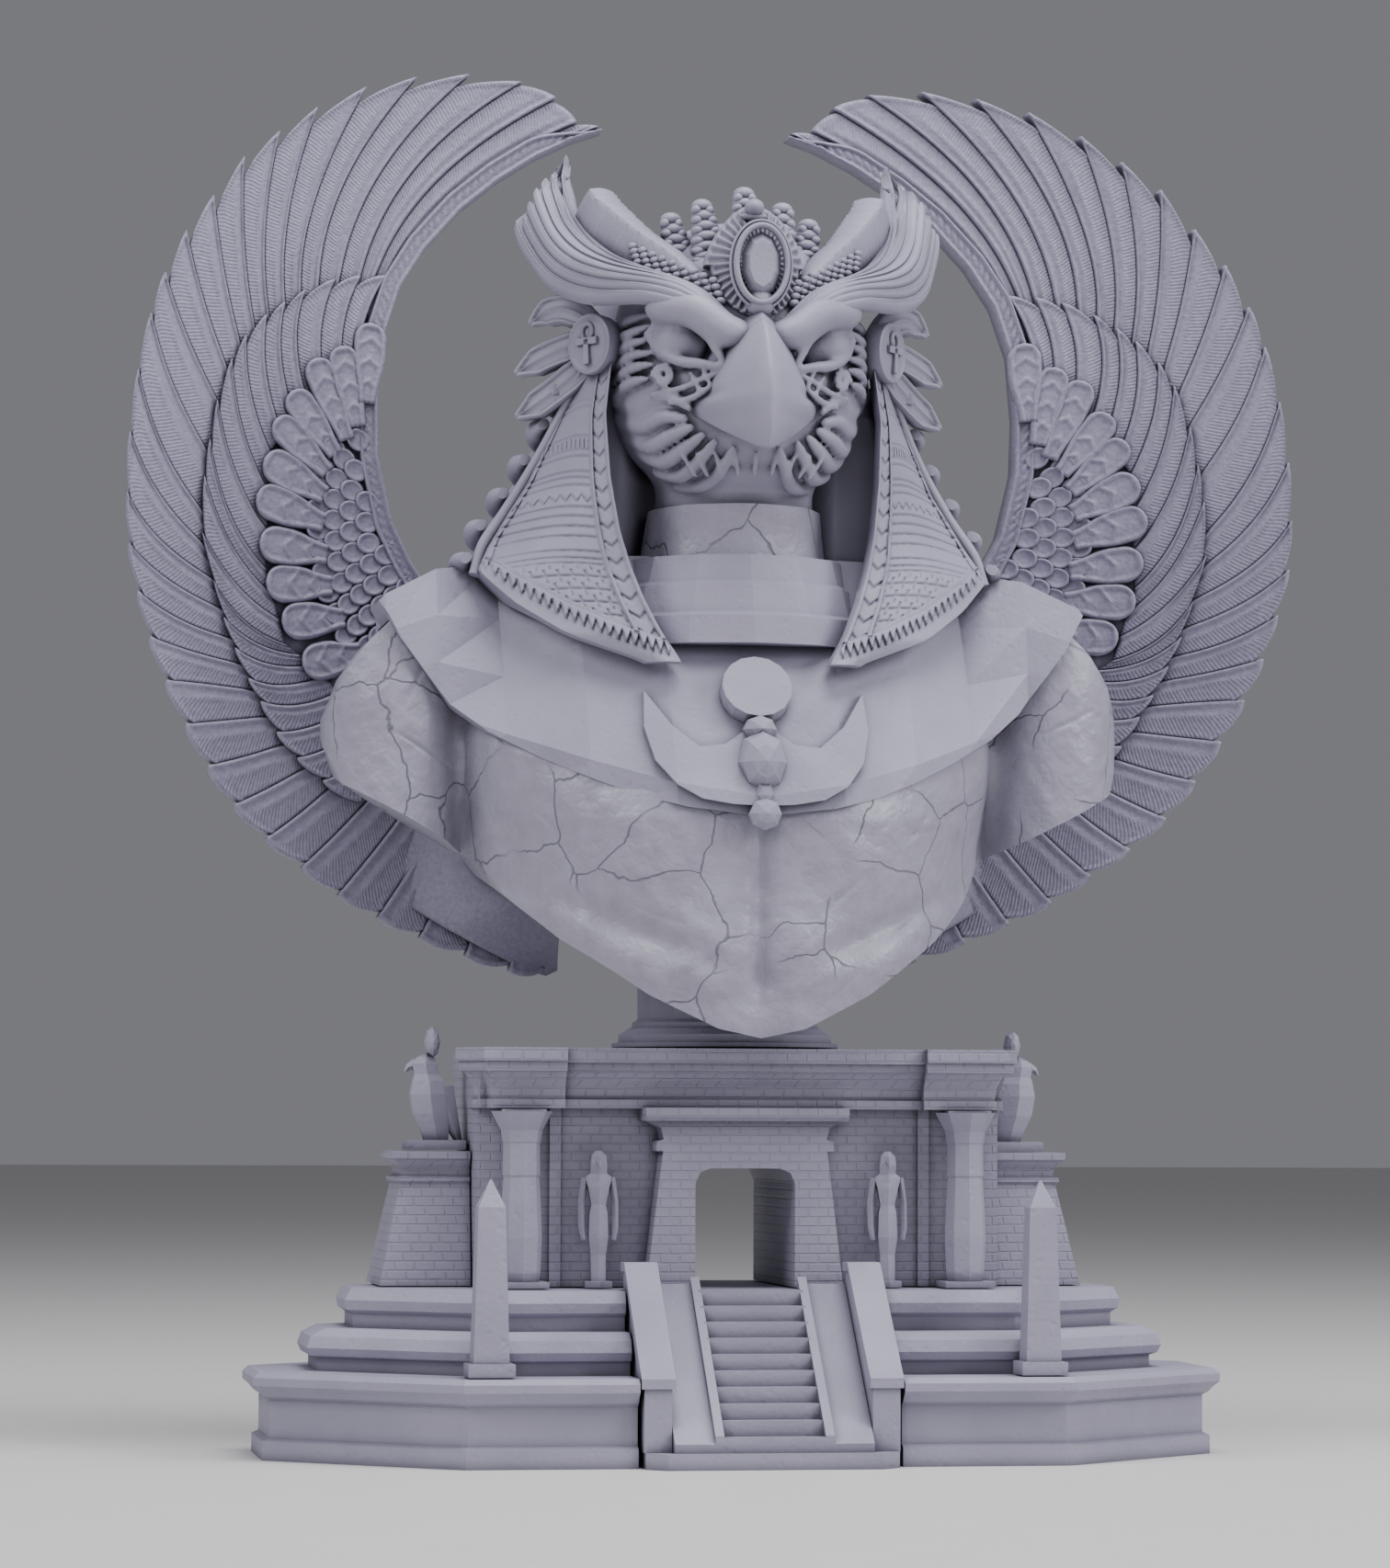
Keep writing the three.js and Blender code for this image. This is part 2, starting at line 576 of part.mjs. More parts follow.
function makeWing(side, clear) {
  const edge = featherEdge();
  const columns = edge.length - 1;
  const geometry = new THREE.BoxGeometry(1, 1, 1, columns, 1, WING_STRIPS);
  return solid(warp(geometry, (point) => {
    const t = point.x + 0.5;
    const inward = 0.5 - point.z;
    const [ix, iz] = walk(WING_INNER, t);
    const [ox, oz] = edge[Math.round(t * columns)];
    const x = lerp(ox, ix, inward);
    const z = lerp(oz, iz, inward);
    const root = smooth(74, 44, x) * smooth(222, 196, z) * smooth(112, 130, z);
    const y = wingY(x) + WING_THICK / 2 - (point.y > 0 ? 0 : WING_THICK + 12 * root);
    point.set(side * x, y, z);
  })).subtract(clear);
}

const HEAD_ROWS = [
  [218, 9, -20, 14], [221, 15, -27, 20], [226, 20.5, -29.5, 25], [232, 25, -30.5, 29],
  [239, 28.6, -31, 32], [248, 30, -31, 34], [257, 30, -31.5, 35], [265, 29.4, -31, 35],
  [273, 27, -27, 33], [280, 21, -18, 30], [285.5, 11, -6, 22],
];

function skullBody(grow) {
  const last = HEAD_ROWS.length - 1;
  return ovalStack(HEAD_ROWS.map(([z, half, front, back], i) => [
    z + (i === 0 ? -grow : 0) + (i === last ? grow : 0), half + grow, front - grow, back + grow,
  ]), 14);
}

function beakBody() {
  return ovalStack([
    [228.7, 0.8, -43.8, -42], [232, 4.6, -46, -36], [237, 9.4, -46.6, -24], [243, 12.2, -46.2, -16],
    [249, 11, -44.4, -16], [255, 7.6, -40, -16], [261.4, 3.6, -33, -16],
  ], 12);
}

// Brow that sweeps out from between the eyes and turns up into a feathered horn.
function browHorn(side, grow) {
  return horn([
    [2, -27, 252, 3, 4], [8, -30, 253.6, 5, 6], [17, -28, 260, 6.4, 7], [28, -20, 265.4, 7.4, 8],
    [38, -8, 268, 8.4, 8], [46, 4, 275, 8.6, 7], [48.6, 11, 284, 7.4, 5.6], [46, 14, 293, 5.6, 4.2],
    [41, 15, 300, 3.4, 3], [37.8, 15, 305.4, 0.6, 0.8],
  ].map(([x, y, z, wide, high]) => [side * x, y, z, wide + grow, high + grow]), 6);
}

function crownTuft(side, grow) {
  return horn([
    [12, -20, 266, 6, 8], [22, -10, 275, 6.4, 9], [29, -1, 283, 5.4, 7], [32, 4, 291.6, 1, 1.4],
  ].map(([x, y, z, wide, high]) => [side * x, y, z, wide + grow, high + grow]), 6);
}

function headBody(grow) {
  return join([skullBody(grow), ...[1, -1].flatMap((side) => [browHorn(side, grow), crownTuft(side, grow)])]);
}

// Rays of the crown, as [x, y, z] of the tip.
const CROWN_RAYS = [
  [0, -17.4, 292.4], [9.6, -13, 289.4], [-9.6, -13, 289.4], [16.6, -8, 287], [-16.6, -8, 287],
];

function makeHead(below, gemClear) {
  const rays = CROWN_RAYS.map(([x, y, z]) => horn([
    [x * 0.7, -8, 268, 5, 5], [x * 0.9, y + 1, z - 9, 4.4, 4.4], [x, y, z - 3, 3.2, 3.2], [x, y, z, 1, 1],
  ], 4));
  const shield = ball(0, -26, 272, 11.4, 6, 14.6, 10, 6);
  return join([headBody(0), beakBody(), shield, ...rays]).subtract(below).subtract(gemClear);
}

function gemBody(grow) {
  const rows = [[-30, 3.6, 5.8], [-33.4, 4.7, 7.6], [-35.4, 3, 5.4]];
  return loft(rows.length, 10, (i, angle) => {
    const [y, wide, high] = rows[i];
    return [
      (wide + grow) * Math.sin(angle), y + (i === 0 ? grow : -grow), 272.2 - (high + grow) * Math.cos(angle),
    ];
  });
}

// Lappet rows of [z, inner x, inner front y, outer x, outer front y].
const LAPPET_ROWS = [
  [252, 31, -10, 37, 3], [240, 32.4, -11, 42, 6], [225, 31.5, -13, 49, 8], [212, 29.6, -16, 57, 7],
  [204, 27.6, -18.6, 60.5, 0], [196, 25, -22, 53, -8], [188, 21.4, -25.4, 42, -18],
  [181, 17.2, -28.4, 24, -26.8],
];

function lappet(side) {
  const last = LAPPET_ROWS.length - 1;
  return solid(warp(new THREE.BoxGeometry(1, 1, 1, 3, 1, last), (point) => {
    const [z, innerX, innerY, outerX, outerY] = LAPPET_ROWS[Math.round((0.5 - point.z) * last)];
    const share = point.x + 0.5;
    const depth = 6 + 20 * share * smooth(190, 206, z);
    const y = lerp(innerY, outerY, share) - 1.6 * Math.sin(share * Math.PI) + (point.y > 0 ? depth : 0);
    point.set(side * lerp(innerX, outerX, share), y, z);
  }));
}

function makeHeaddress(clear) {
  const drape = ovalStack([
    [200, 60.5, 6, 61], [207, 60, 4, 61], [217, 53.6, 2, 58], [237, 43.6, 1, 51],
    [258, 35, 0, 46], [270, 31, 2, 43], [279, 24, 6, 38], [285, 12, 10, 30],
  ], 12);
  return join([drape, lappet(1), lappet(-1)]).subtract(clear);
}

// Ear disc with three curved blades fanned out behind it, swollen by grow.
function earOrnament(side, grow) {
  const disc = new THREE.CylinderGeometry(6.4 + grow, 6.4 + grow, 5 + grow * 2, 14);
  disc.rotateZ(side * 0.7);
  disc.translate(side * 34.4, -6.4, 256.6);
  const blades = [0, 1, 2].map((i) => {
    const z = 262.5 - i * 6.2;
    return horn([
      [side * 34.4, -6, 259.6 - i * 3.2, 2.4 + grow, 2.6 + grow],
      [side * 39, 2, z + 1 - i, 2.4 + grow, 2.6 + grow],
      [side * (45.6 + i), 7, z - 1.6 - i * 2.4, 2 + grow, 2.2 + grow],
      [side * (49.4 + i * 0.6), 9, z - 7 - i * 3.4, 0.8 + grow, 1 + grow],
    ], 5);
  });
  return join([solid(disc), ...blades]);
}

// Right half of the spread scarab wings as [x, z].
const SCARAB_WING = [
  [0, 167.5], [8, 162], [14, 161.4], [20, 166.5], [25.4, 174.6], [26, 166], [24, 158], [19.6, 152.4],
  [14, 149.2], [7, 148], [0, 147.6],
];

// Sun disc, beetle, ball and spread wings laid against the chest.
function makeScarab(clear) {
  const disc = new THREE.CylinderGeometry(8.1, 8.1, 6, 16);
  disc.rotateX(-0.5);
  disc.translate(0, -27.6, 174.2);
  const wings = alongY([
    ...SCARAB_WING, ...SCARAB_WING.slice(1, -1).reverse().map(([x, z]) => [-x, z]),
  ], -60, 0);
  return join([
    wings.intersect(torsoBody(COLLAR_THICK + 2.4)),
    solid(disc),
    ball(0, -36, 157.6, 5.8, 7.4, 7.6, 8, 6),
    ball(0, -32.6, 165.4, 4, 5.4, 3.4, 8, 5),
    ball(0, -40.2, 145.8, 3.9, 3.9, 3.9, 8, 5),
    ball(0, -39.4, 150, 2.6, 2.6, 3.6, 6, 5),
  ]).subtract(clear);
}

function chokerBody(grow) {
  return ovalStack([
    [186, 34, -27, 38], [192.5, 33.4, -26.4, 37], [193.5, 31.4, -25, 36], [200, 29.6, -23.4, 34],
    [201, 28.4, -22.4, 33], [207 + grow, 26.6, -21, 31],
  ].map(([z, half, front, back]) => [z, half + grow, front - grow, back + grow]), 14);
}

const torsoClear = join([torsoBody(GAP), neckBody(GAP, 196 - GAP, 216 + GAP)]);
const collarClear = join([torsoBody(COLLAR_THICK + GAP), chokerBody(GAP)]);
const bodyClear = torsoClear.add(collarClear);
const gem = gemBody(0);
const head = makeHead(bodyClear, gemBody(GAP));
const ears = [-1, 1].map((side) => earOrnament(side, 0).subtract(headBody(GAP)));
const hood = makeHeaddress(join([bodyClear, headBody(GAP), earOrnament(1, GAP), earOrnament(-1, GAP)]));

const group = new THREE.Group();

function add(name, shape, colour, roughness) {
  const mesh = shape.getMesh();
  const geometry = new THREE.BufferGeometry();
  geometry.setAttribute('position', new THREE.BufferAttribute(Float32Array.from(mesh.vertProperties), 3));
  geometry.setIndex(new THREE.BufferAttribute(Uint32Array.from(mesh.triVerts), 1));
  geometry.computeVertexNormals();
  const material = new THREE.MeshStandardMaterial({ color: colour, roughness, metalness: 0 });
  const piece = new THREE.Mesh(geometry, material);
  piece.name = name;
  group.add(piece);
}

const GREY = 0x8f8ca2;
add('plinth', makePlinth(), GREY, 0.6);
add('stairway', makeStairway(), GREY, 0.6);
add('gateway', makeGateway(), GREY, 0.6);
add('socle', makeSocle(torsoClear), GREY, 0.5);
add('torso', makeTorso(), GREY, 0.5);
add('collar', makeCollar(torsoClear), GREY, 0.6);
add('scarab_pectoral', makeScarab(bodyClear), GREY, 0.6);
add('head', head, GREY, 0.55);
add('headdress', hood, GREY, 0.6);
add('brow_gem', gem, GREY, 0.35);

[['left', -1], ['right', 1]].forEach(([name, side], i) => {
  add(`pylon_${name}`, makePylon(side), GREY, 0.6);
  add(`falcon_${name}`, makeFalcon(side), GREY, 0.6);
  add(`column_${name}`, makeColumn(side), GREY, 0.6);
  add(`guardian_${name}`, makeGuardian(side), GREY, 0.6);
  add(`obelisk_${name}`, makeObelisk(side), GREY, 0.6);
  add(`ear_ornament_${name}`, ears[i], GREY, 0.6);
  add(`wing_${name}`, makeWing(side, bodyClear), GREY, 0.6);
});

export default group;
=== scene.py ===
"""Looks of a cast resin falcon god bust on a temple plinth, laid out as a Blender add-on."""

import json
import math

import bpy
import numpy as np
import openvdb
from mathutils import Matrix, Vector


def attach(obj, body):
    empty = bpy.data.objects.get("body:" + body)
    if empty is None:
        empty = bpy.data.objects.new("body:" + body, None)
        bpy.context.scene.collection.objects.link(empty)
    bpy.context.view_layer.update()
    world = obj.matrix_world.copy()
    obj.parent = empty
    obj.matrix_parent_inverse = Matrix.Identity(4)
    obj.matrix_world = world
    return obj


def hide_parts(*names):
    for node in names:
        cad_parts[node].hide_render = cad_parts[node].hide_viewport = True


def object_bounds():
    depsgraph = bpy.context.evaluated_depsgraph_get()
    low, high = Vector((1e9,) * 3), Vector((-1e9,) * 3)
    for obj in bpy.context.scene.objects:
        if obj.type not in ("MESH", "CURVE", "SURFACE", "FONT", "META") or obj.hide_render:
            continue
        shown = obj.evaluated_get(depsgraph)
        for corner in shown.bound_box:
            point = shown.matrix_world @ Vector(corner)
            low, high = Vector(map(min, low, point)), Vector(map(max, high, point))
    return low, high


bl_info = {
    "name": "Falcon God Bust",
    "version": (1, 0, 0),
    "blender": (4, 5, 0),
    "location": "3D View > Sidebar > Bust",
    "description": "Carved relief, feathers and finishes of a cast resin bust",
    "category": "Object",
}

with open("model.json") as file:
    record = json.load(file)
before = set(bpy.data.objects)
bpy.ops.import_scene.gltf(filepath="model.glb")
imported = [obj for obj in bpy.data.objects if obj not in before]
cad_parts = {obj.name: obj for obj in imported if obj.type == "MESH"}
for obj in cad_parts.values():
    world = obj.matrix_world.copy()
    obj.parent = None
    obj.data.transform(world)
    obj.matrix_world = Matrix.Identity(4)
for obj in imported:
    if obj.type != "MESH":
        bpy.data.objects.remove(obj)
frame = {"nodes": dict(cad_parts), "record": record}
CAD_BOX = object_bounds()
BOX_LOW = np.array(CAD_BOX[0], float) * 1000
BOX_HIGH = np.array(CAD_BOX[1], float) * 1000

MM = 0.001


# Measures

CUT_EDGE = np.array([
    [0, 95.3], [10, 97.4], [18, 101.4], [25.5, 105.2], [37, 113.3], [44, 118.2], [51.6, 125.4],
    [55.2, 129.4], [59, 136.2], [63, 139.2], [73, 144.3], [84, 150], [91.5, 154.2], [95, 163],
])
SHOULDER_LINE = np.array([
    [0, 204], [45, 204], [60, 202.5], [70, 200], [79, 194], [86, 187], [91, 180], [95, 170],
])
CHEST_LINE = np.array([
    [90, -36], [120, -38.4], [145, -36.6], [160, -31.4], [175, -22.6], [190, -15.4], [206, -9],
])
COLLAR_EDGE = np.array([
    [0, 145.4], [17, 147.4], [27, 150], [37.3, 154.1], [47.4, 159], [59.3, 165.8], [67.2, 172.4],
    [73.1, 180], [78.9, 187.8], [81.5, 193],
])
WING_INNER = np.array([
    [23.4, 320.4], [31, 317.6], [40, 313], [49.3, 306.8], [58.6, 299], [67.8, 288.4], [74, 278.4],
    [78, 266], [79.3, 250], [78.9, 236.6], [75.3, 221], [70.6, 211.8], [62, 199], [51, 183],
    [42, 166], [36, 147], [33.5, 130], [33, 113],
])
FEATHER_TIPS = np.array([
    [24.1, 321.6], [29.6, 322.4], [34.8, 328.3], [43.3, 331.9], [56.6, 332.9], [69.9, 331.1],
    [82.5, 327.5], [94.8, 321.1], [104.2, 314.2], [113, 306.8], [120.5, 296.4], [127.2, 287],
    [132.2, 276.2], [135.6, 266.1], [138.6, 252.3], [140.4, 237.3], [141, 223], [140.4, 211],
    [138, 200], [135, 189.5], [131, 179.5], [126, 169.5], [120.5, 160], [114, 151], [106, 143.4],
    [97, 137], [88, 130.5], [78, 125.4], [67.5, 120.7], [56, 116.4], [45, 112.8], [36.5, 111.4],
])
TORSO_HALF = 95
TORSO_BACK_Y = 55


def read(pairs, at):
    pairs = np.asarray(pairs, float)
    return np.interp(at, pairs[:, 0], pairs[:, 1])


def smooth(low, high, value):
    t = np.clip((np.asarray(value, float) - low) / (high - low), 0, 1)
    return t * t * (3 - 2 * t)


def lerp(a, b, t):
    return a + (b - a) * t


def along(points, count, start=0.0, end=1.0):
    """Evenly spaced points on a polyline, between two shares of its length."""
    points = np.asarray(points, float)
    steps = np.hypot(*np.diff(points[:, :2], axis=0).T) if points.shape[1] == 2 else \
        np.linalg.norm(np.diff(points, axis=0), axis=1)
    length = np.concatenate([[0], np.cumsum(steps)])
    goal = np.linspace(start, end, count) * length[-1]
    return np.stack([np.interp(goal, length, points[:, i]) for i in range(points.shape[1])], 1)


def curve(points, count):
    """Smooth curve through points, evenly spaced."""
    points = np.asarray(points, float)
    before = np.vstack([2 * points[0] - points[1], points, 2 * points[-1] - points[-2]])
    fine = []
    for i in range(1, len(before) - 2):
        a, b, c, d = before[i - 1:i + 3]
        t = np.linspace(0, 1, 12, endpoint=False)[:, None]
        fine.append(0.5 * (2 * b + (c - a) * t + (2 * a - 5 * b + 4 * c - d) * t ** 2
                           + (3 * b - a - 3 * c + d) * t ** 3))
    fine.append(points[-1:])
    fine = np.vstack(fine)
    steps = np.linalg.norm(np.diff(fine[:, :min(3, fine.shape[1])], axis=0), axis=1)
    length = np.concatenate([[0], np.cumsum(steps)])
    goal = np.linspace(0, length[-1], count)
    return np.stack([np.interp(goal, length, fine[:, i]) for i in range(fine.shape[1])], 1)


def bend(root, control, tip, count):
    t = np.linspace(0, 1, count)[:, None]
    root, control, tip = (np.asarray(p, float) for p in (root, control, tip))
    return (1 - t) ** 2 * root + 2 * t * (1 - t) * control + t * t * tip


def grain(x, y, z, size, seed=0):
    """Cheap smooth unevenness between -1 and 1, with bumps about size across."""
    total = 0
    for i in range(5):
        a = 1.7 * i + seed
        fx, fy, fz = math.cos(a * 2.1), math.sin(a * 1.3), math.cos(a * 3.7 + 1)
        total = total + np.sin((x * fx + y * fy + z * fz) * 3.9 / size + a * 5.1
                               + 1.7 * np.sin((x * fy - z * fx + y * fz) * 2.3 / size + a))
    return total / 5


# Meshes

class Casting:
    """Closed shells gathered into one mesh, in millimetres."""

    def __init__(self):
        self.points = []
        self.quads = []
        self.tris = []
        self.flat = []
        self.count = 0

    def shell(self, points, quads, tris, flat=None):
        points = np.asarray(points, float)
        quads = np.asarray(quads, int).reshape(-1, 4)
        tris = np.asarray(tris, int).reshape(-1, 3)
        every = np.vstack([quads[:, [0, 1, 2]], quads[:, [0, 2, 3]], tris])
        a, b, c = (points[every[:, i]] for i in range(3))
        if np.einsum("ij,ij->i", a, np.cross(b, c)).sum() < 0:
            quads, tris = quads[:, ::-1], tris[:, ::-1]
        self.points.append(points)
        self.quads.append(quads + self.count)
        self.tris.append(tris + self.count)
        self.flat.append(np.zeros((len(points), 2)) if flat is None else flat)
        self.count += len(points)

    def rings(self, grid, flat=None):
        """Closed tube from rings of points, grid[ring, corner], with both ends capped."""
        n, m, _ = grid.shape
        i, k = np.meshgrid(np.arange(n - 1), np.arange(m), indexing="ij")
        j = (k + 1) % m
        quads = np.stack([i * m + k, i * m + j, (i + 1) * m + j, (i + 1) * m + k], -1).reshape(-1, 4)
        ends = np.stack([grid[0].mean(0), grid[-1].mean(0)])
        k = np.arange(m)
        j = (k + 1) % m
        low = np.stack([np.full(m, n * m), j, k], 1)
        high = np.stack([np.full(m, n * m + 1), (n - 1) * m + k, (n - 1) * m + j], 1)
        if flat is not None:
            flat = np.vstack([flat.reshape(-1, 2), flat[0].mean(0), flat[-1].mean(0)])
        self.shell(np.vstack([grid.reshape(-1, 3), ends]), quads, np.vstack([low, high]), flat)

    def prism(self, outline, low, high, axis="y"):
        """Flat outline pushed along an axis: [x, z] for y, [y, z] for x, [x, y] for z."""
        outline = np.asarray(outline, float)
        rings = []
        for value in (low, high):
            ring = np.full((len(outline), 3), float(value))
            ring[:, {"x": [1, 2], "y": [0, 2], "z": [0, 1]}[axis]] = outline
            rings.append(ring)
        self.rings(np.stack(rings))

    def lathe(self, profile, sides, centre, ripple=None):
        """Turned body from [radius, z] pairs; ripple(angle, z) scales the radius."""
        angle = np.linspace(0, 2 * np.pi, sides, endpoint=False)
        profile = np.asarray(profile, float)
        radius = np.repeat(profile[:, :1], sides, 1)
        if ripple is not None:
            radius = radius * ripple(angle[None, :], profile[:, 1:2])
        grid = np.stack([centre[0] + radius * np.sin(angle), centre[1] - radius * np.cos(angle),
                         np.repeat(profile[:, 1:2], sides, 1)], -1)
        self.rings(grid)

    def rod(self, stations, sides, levels, shape=None, up=(0, -1, 0)):
        """Tapered rod through [x, y, z, half width, half height] stations."""
        line = curve(stations, levels)
        run = np.gradient(line[:, :3], axis=0)
        run /= np.linalg.norm(run, axis=1)[:, None]
        side = np.cross(np.asarray(up, float), run)
        side /= np.linalg.norm(side, axis=1)[:, None] + 1e-9
        face = np.cross(run, side)
        angle = np.linspace(0, 2 * np.pi, sides, endpoint=False)
        t = np.linspace(0, 1, levels)[:, None]
        swell = np.ones((levels, sides)) if shape is None else shape(t, angle[None, :])
        wide = np.maximum(line[:, 3:4], 0.05) * swell
        high = np.maximum(line[:, 4:5], 0.05) * swell
        grid = (line[:, None, :3] + side[:, None] * (wide * np.sin(angle))[..., None]
                + face[:, None] * (high * np.cos(angle))[..., None])
        flat = np.stack([np.repeat(t * 60, sides, 1), np.repeat(angle[None] * 6, levels, 0)], -1)
        self.rings(grid, flat)

    def ball(self, centre, radii, sides=16, levels=10):
        t = np.linspace(0.02, math.pi - 0.02, levels)
        profile = np.stack([np.sin(t), -np.cos(t)], 1)
        angle = np.linspace(0, 2 * np.pi, sides, endpoint=False)
        grid = np.stack([
            centre[0] + radii[0] * profile[:, :1] * np.sin(angle),
            centre[1] - radii[1] * profile[:, :1] * np.cos(angle),
            centre[2] + radii[2] * np.repeat(profile[:, 1:], sides, 1)], -1)
        self.rings(grid)

    def slab(self, top, bottom, flat=None):
        """Closed sheet between two grids of points with the same shape."""
        n, m, _ = top.shape
        ring = np.concatenate([top, bottom[:, ::-1]], 1)
        ring_flat = None if flat is None else np.concatenate([flat, flat[:, ::-1]], 1)
        self.rings(ring, ring_flat)

    def patch(self, top, bottom, flat=None):
        """Closed sheet with every edge walled, for a sheet whose ends are wide."""
        n, m, _ = top.shape
        points = np.vstack([top.reshape(-1, 3), bottom.reshape(-1, 3)])
        i, k = np.meshgrid(np.arange(n - 1), np.arange(m - 1), indexing="ij")
        a, b, c, d = i * m + k, i * m + k + 1, (i + 1) * m + k + 1, (i + 1) * m + k
        quads = [np.stack([a, b, c, d], -1).reshape(-1, 4),
                 np.stack([a, d, c, b], -1).reshape(-1, 4) + n * m]
        border = np.concatenate([np.arange(m), np.arange(1, n) * m + m - 1,
                                 (n - 1) * m + np.arange(m - 2, -1, -1),
                                 np.arange(n - 2, 0, -1) * m])
        after = np.roll(border, -1)
        quads.append(np.stack([after, border, border + n * m, after + n * m], 1))
        both = None if flat is None else np.vstack([flat.reshape(-1, 2)] * 2)
        self.shell(points, np.vstack(quads), np.zeros((0, 3), int), both)

    def add_mesh(self, points, quads, tris):
        self.shell(points, quads, tris)

    def mirrored(self):
        other = Casting()
        for points, flat in zip(self.points, self.flat):
            other.points.append(points * [-1, 1, 1])
            other.flat.append(flat)
        other.quads = [quads[:, ::-1] for quads in self.quads]
        other.tris = [tris[:, ::-1] for tris in self.tris]
        other.count = self.count
        return other

    def piece(self, name, material, slot, replaces=(), sharp=None):
        points = np.clip(np.vstack(self.points), BOX_LOW, BOX_HIGH)
        quads = np.vstack(self.quads) if self.quads else np.zeros((0, 4), int)
        tris = np.vstack(self.tris) if self.tris else np.zeros((0, 3), int)
        mesh = bpy.data.meshes.new(name)
        mesh.vertices.add(len(points))
        mesh.vertices.foreach_set("co", (points * MM).astype(np.float32).ravel())
        corners = np.concatenate([quads.ravel(), tris.ravel()]).astype(np.int32)
        sizes = np.concatenate([np.full(len(quads), 4), np.full(len(tris), 3)]).astype(np.int32)
        mesh.loops.add(len(corners))
        mesh.loops.foreach_set("vertex_index", corners)
        mesh.polygons.add(len(sizes))
        starts = np.concatenate([[0], np.cumsum(sizes)[:-1]]).astype(np.int32)
        mesh.polygons.foreach_set("loop_start", starts)
        mesh.update(calc_edges=True)
        mesh.validate()
        flat = np.vstack(self.flat)
        layer = mesh.uv_layers.new(name="Flat")
        order = np.zeros(len(mesh.loops), np.int32)
        mesh.loops.foreach_get("vertex_index", order)
        layer.data.foreach_set("uv", flat[order].astype(np.float32).ravel())
        if sharp is None:
            mesh.shade_smooth()
        else:
            mesh.shade_smooth()
            mesh.set_sharp_from_angle(angle=math.radians(sharp))
        mesh.materials.append(material)
        return finished(bpy.data.objects.new(name, mesh), replaces)


def finished(piece, replaces=()):
    """Links a made piece, hangs it on the body and hides the parts it replaces."""
    if piece.name not in bpy.context.scene.collection.objects:
        bpy.context.scene.collection.objects.link(piece)
    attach(piece, "root")
    if replaces:
        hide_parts(*replaces)
    return piece


class Clay:
    """Block of signed distances in millimetres that forms are pressed into."""

    def __init__(self, low, high, voxel):
        self.low = np.asarray(low, float)
        self.voxel = voxel
        self.axes = [np.arange(low[i], high[i] + voxel, voxel) for i in range(3)]
        self.field = np.full([len(a) for a in self.axes], 30.0, np.float32)

    def window(self, low, high):
        spans = []
        for axis, a, b in zip(self.axes, low, high):
            first = int(np.searchsorted(axis, a))
            last = int(np.searchsorted(axis, b, side="right"))
            spans.append(slice(first, max(last, first + 1)))
        x, y, z = (axis[span].astype(np.float32) for axis, span in zip(self.axes, spans))
        return tuple(spans), x[:, None, None], y[None, :, None], z[None, None, :]

    def press(self, low, high, distance, blend=0.0, cut=False):
        pad = blend + 2 * self.voxel
        low = np.asarray(low, float) - pad
        high = np.asarray(high, float) + pad
        spans, x, y, z = self.window(low, high)
        here = self.field[spans]
        if here.size == 0:
            return
        new = distance(x, y, z).astype(np.float32)
        if cut:
            new = -new
            here, new = -here, -new
        if blend > 0:
            mix = np.clip(0.5 + 0.5 * (new - here) / blend, 0, 1)
            value = new + (here - new) * mix - blend * mix * (1 - mix)
        else:
            value = np.minimum(here, new)
        self.field[spans] = -value if cut else value

    def egg(self, centre, radii, blend=0.0, cut=False, turn=None):
        centre = np.asarray(centre, float)
        radii = np.asarray(radii, float)
        reach = radii.max() if turn is not None else radii

        def distance(x, y, z):
            p = [x - centre[0], y - centre[1], z - centre[2]]
            if turn is not None:
                m = np.array(turn)
                p = [m[i][0] * p[0] + m[i][1] * p[1] + m[i][2] * p[2] for i in range(3)]
            k0 = np.sqrt(sum((p[i] / radii[i]) ** 2 for i in range(3)))
            k1 = np.sqrt(sum((p[i] / radii[i] ** 2) ** 2 for i in range(3)))
            return k0 * (k0 - 1) / np.maximum(k1, 1e-4)
        self.press(centre - reach, centre + reach, distance, blend, cut)

    def cone(self, a, b, ra, rb, blend=0.0, cut=False):
        a, b = np.asarray(a, float), np.asarray(b, float)
        d = b - a
        size = float(d @ d) + 1e-9

        def distance(x, y, z):
            px, py, pz = x - a[0], y - a[1], z - a[2]
            h = np.clip((px * d[0] + py * d[1] + pz * d[2]) / size, 0, 1)
            gap = np.sqrt((px - d[0] * h) ** 2 + (py - d[1] * h) ** 2 + (pz - d[2] * h) ** 2)
            return gap - (ra + (rb - ra) * h)
        big = max(ra, rb)
        self.press(np.minimum(a, b) - big, np.maximum(a, b) + big, distance, blend, cut)

    def string(self, stations, blend=0.0, cut=False, count=None):
        """Rounded rod through [x, y, z, radius] stations."""
        line = curve(stations, count or 3 * len(stations))
        for a, b in zip(line[:-1], line[1:]):
            self.cone(a[:3], b[:3], a[3], b[3], blend, cut)

    def surface(self, adaptivity=0.0):
        grid = openvdb.FloatGrid()
        grid.copyFromArray(np.clip(self.field, -4 * self.voxel, 4 * self.voxel))
        points, tris, quads = grid.convertToPolygons(isovalue=0.0, adaptivity=adaptivity)
        return points * self.voxel + self.low, quads, tris


def wing_back(x):
    """Middle surface of the cupped wings: far back near the body, forward at the span."""
    return 63 - 40 * (np.abs(x) / 140.4) ** 2.6


# Materials

